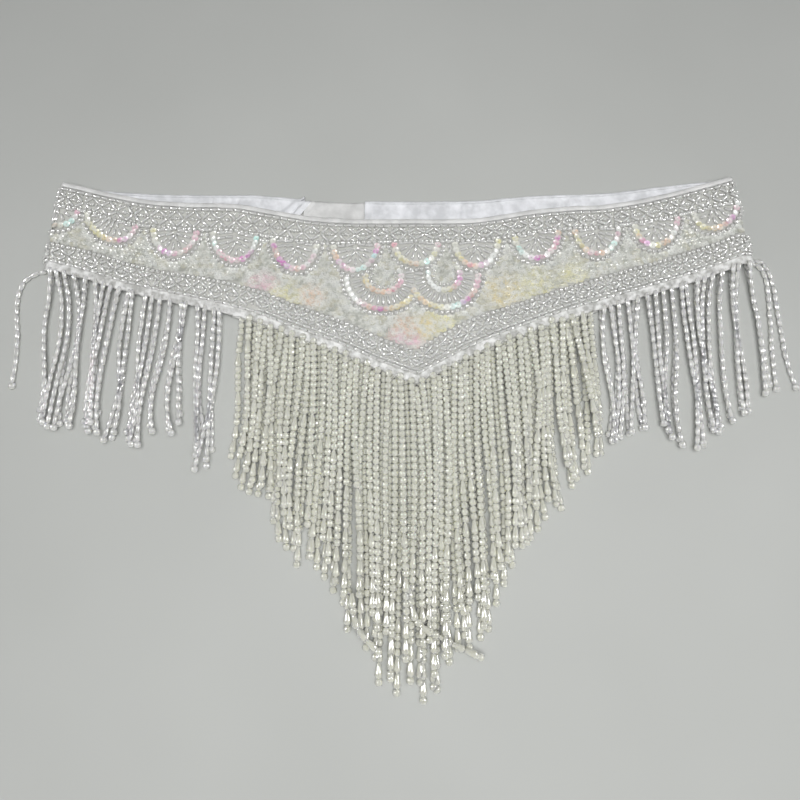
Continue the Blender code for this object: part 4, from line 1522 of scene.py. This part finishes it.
def belt():
    front_cloth()
    waist_binding()
    hem_tape()
    wing("left")
    wing("right")
    lining("left", 0.7)
    lining("right", 0.0)
    tab_cloth()
    back_binding("left")
    back_binding("right")
    low_tape()
    back_tape("left", -222.0 * MM, -61.0 * MM)
    back_tape("right", -18.0 * MM, 227.0 * MM)

    waist_line = Line(waist_edge, APEX_X)
    hem_line = Line(hem_edge, APEX_X)
    for name, (bugles, rounds) in (
            ("waist", border(waist_line, -1.0, WAIST_BORDER, WAIST_LATTICE)),
            ("hem", border(hem_line, 1.0, HEM_BORDER, HEM_LATTICE, SECOND_FROM))):
        joined(name + "_border_bugles", bugles, GLASS)
        joined(name + "_border_beads", rounds, BEAD)
    for name, (rounds, bugles, rims) in (("scallop", scallops()), ("fan", fans())):
        joined(name + "_beads", rounds, BEAD)
        joined(name + "_bugles", bugles, GLASS)
        joined(name + "_sequins", rims, SEQUIN_FILM)
    joined("ground_sequins", ground_sequins(), SEQUIN_FILM)
    fringes()
    declare_cuts()


# ---- floor, light and camera

def lamp(name, place, size, power):
    """A round lamp that shines at the belt's middle."""
    light = bpy.data.lights.new(name, "AREA")
    light.shape = "DISK"
    light.size = size
    light.energy = power
    holder = placed(name, light)
    holder.location = place
    holder.rotation_euler = (AIM - place).to_track_quat("-Z", "Y").to_euler()
    return holder


def studio():
    """A pale floor and sky, two lamps for highlights, one for the rest, and the camera."""
    scene = bpy.context.scene
    body = bmesh.new()
    bmesh.ops.create_grid(body, x_segments=1, y_segments=1, size=FLOOR_SIZE)
    mesh = finished("floor", body)
    made, tree, shader = principled("pale_floor", Roughness=0.85)
    noise = added(tree, "TexNoise", Vector=coordinates(tree), Scale=FLOOR_SCALE).outputs["Fac"]
    wired(tree, shader,
          Base_Color=blended(tree, noise, (0.46, 0.47, 0.45, 1.0), (0.54, 0.55, 0.53, 1.0)))
    mesh.materials.append(made)
    floor = placed("floor", mesh)
    floor.location.z = FLOOR_Z
    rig.stage(floor)

    for side, place in (("left", LEFT_LAMP), ("right", RIGHT_LAMP)):
        lamp(side + "_lamp", place, LAMP_SIZE, LAMP_POWER).visible_diffuse = False
    lamp("fill_lamp", FILL_LAMP, FILL_SIZE, FILL_POWER).visible_glossy = False

    world = bpy.data.worlds.new("studio")
    scene.world = world
    world.use_nodes = True
    tree = world.node_tree
    seen = added(tree, "LightPath").outputs["Is Camera Ray"]
    wired(tree, tree.nodes["Background"], Color=(0.98, 0.99, 1.0, 1.0),
          Strength=maths(tree, "MULTIPLY_ADD", seen, SEEN_SKY - SKY, SKY))

    lens = bpy.data.cameras.new("camera")
    lens.lens = LENS_MM
    lens.sensor_width = SENSOR_MM
    lens.clip_start = 0.01
    camera = placed("camera", lens)
    camera.rotation_euler = (CAMERA_TILT, 0.0, 0.0)
    camera.location = CAMERA_AT
    scene.camera = camera
    scene.view_settings.view_transform = "Standard"


studio()
belt()

with open("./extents.json", "w") as out:
    json.dump({"cad": [list(cad_low), list(cad_high)],
               "visual": [list(corner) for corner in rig.bounds()]}, out)
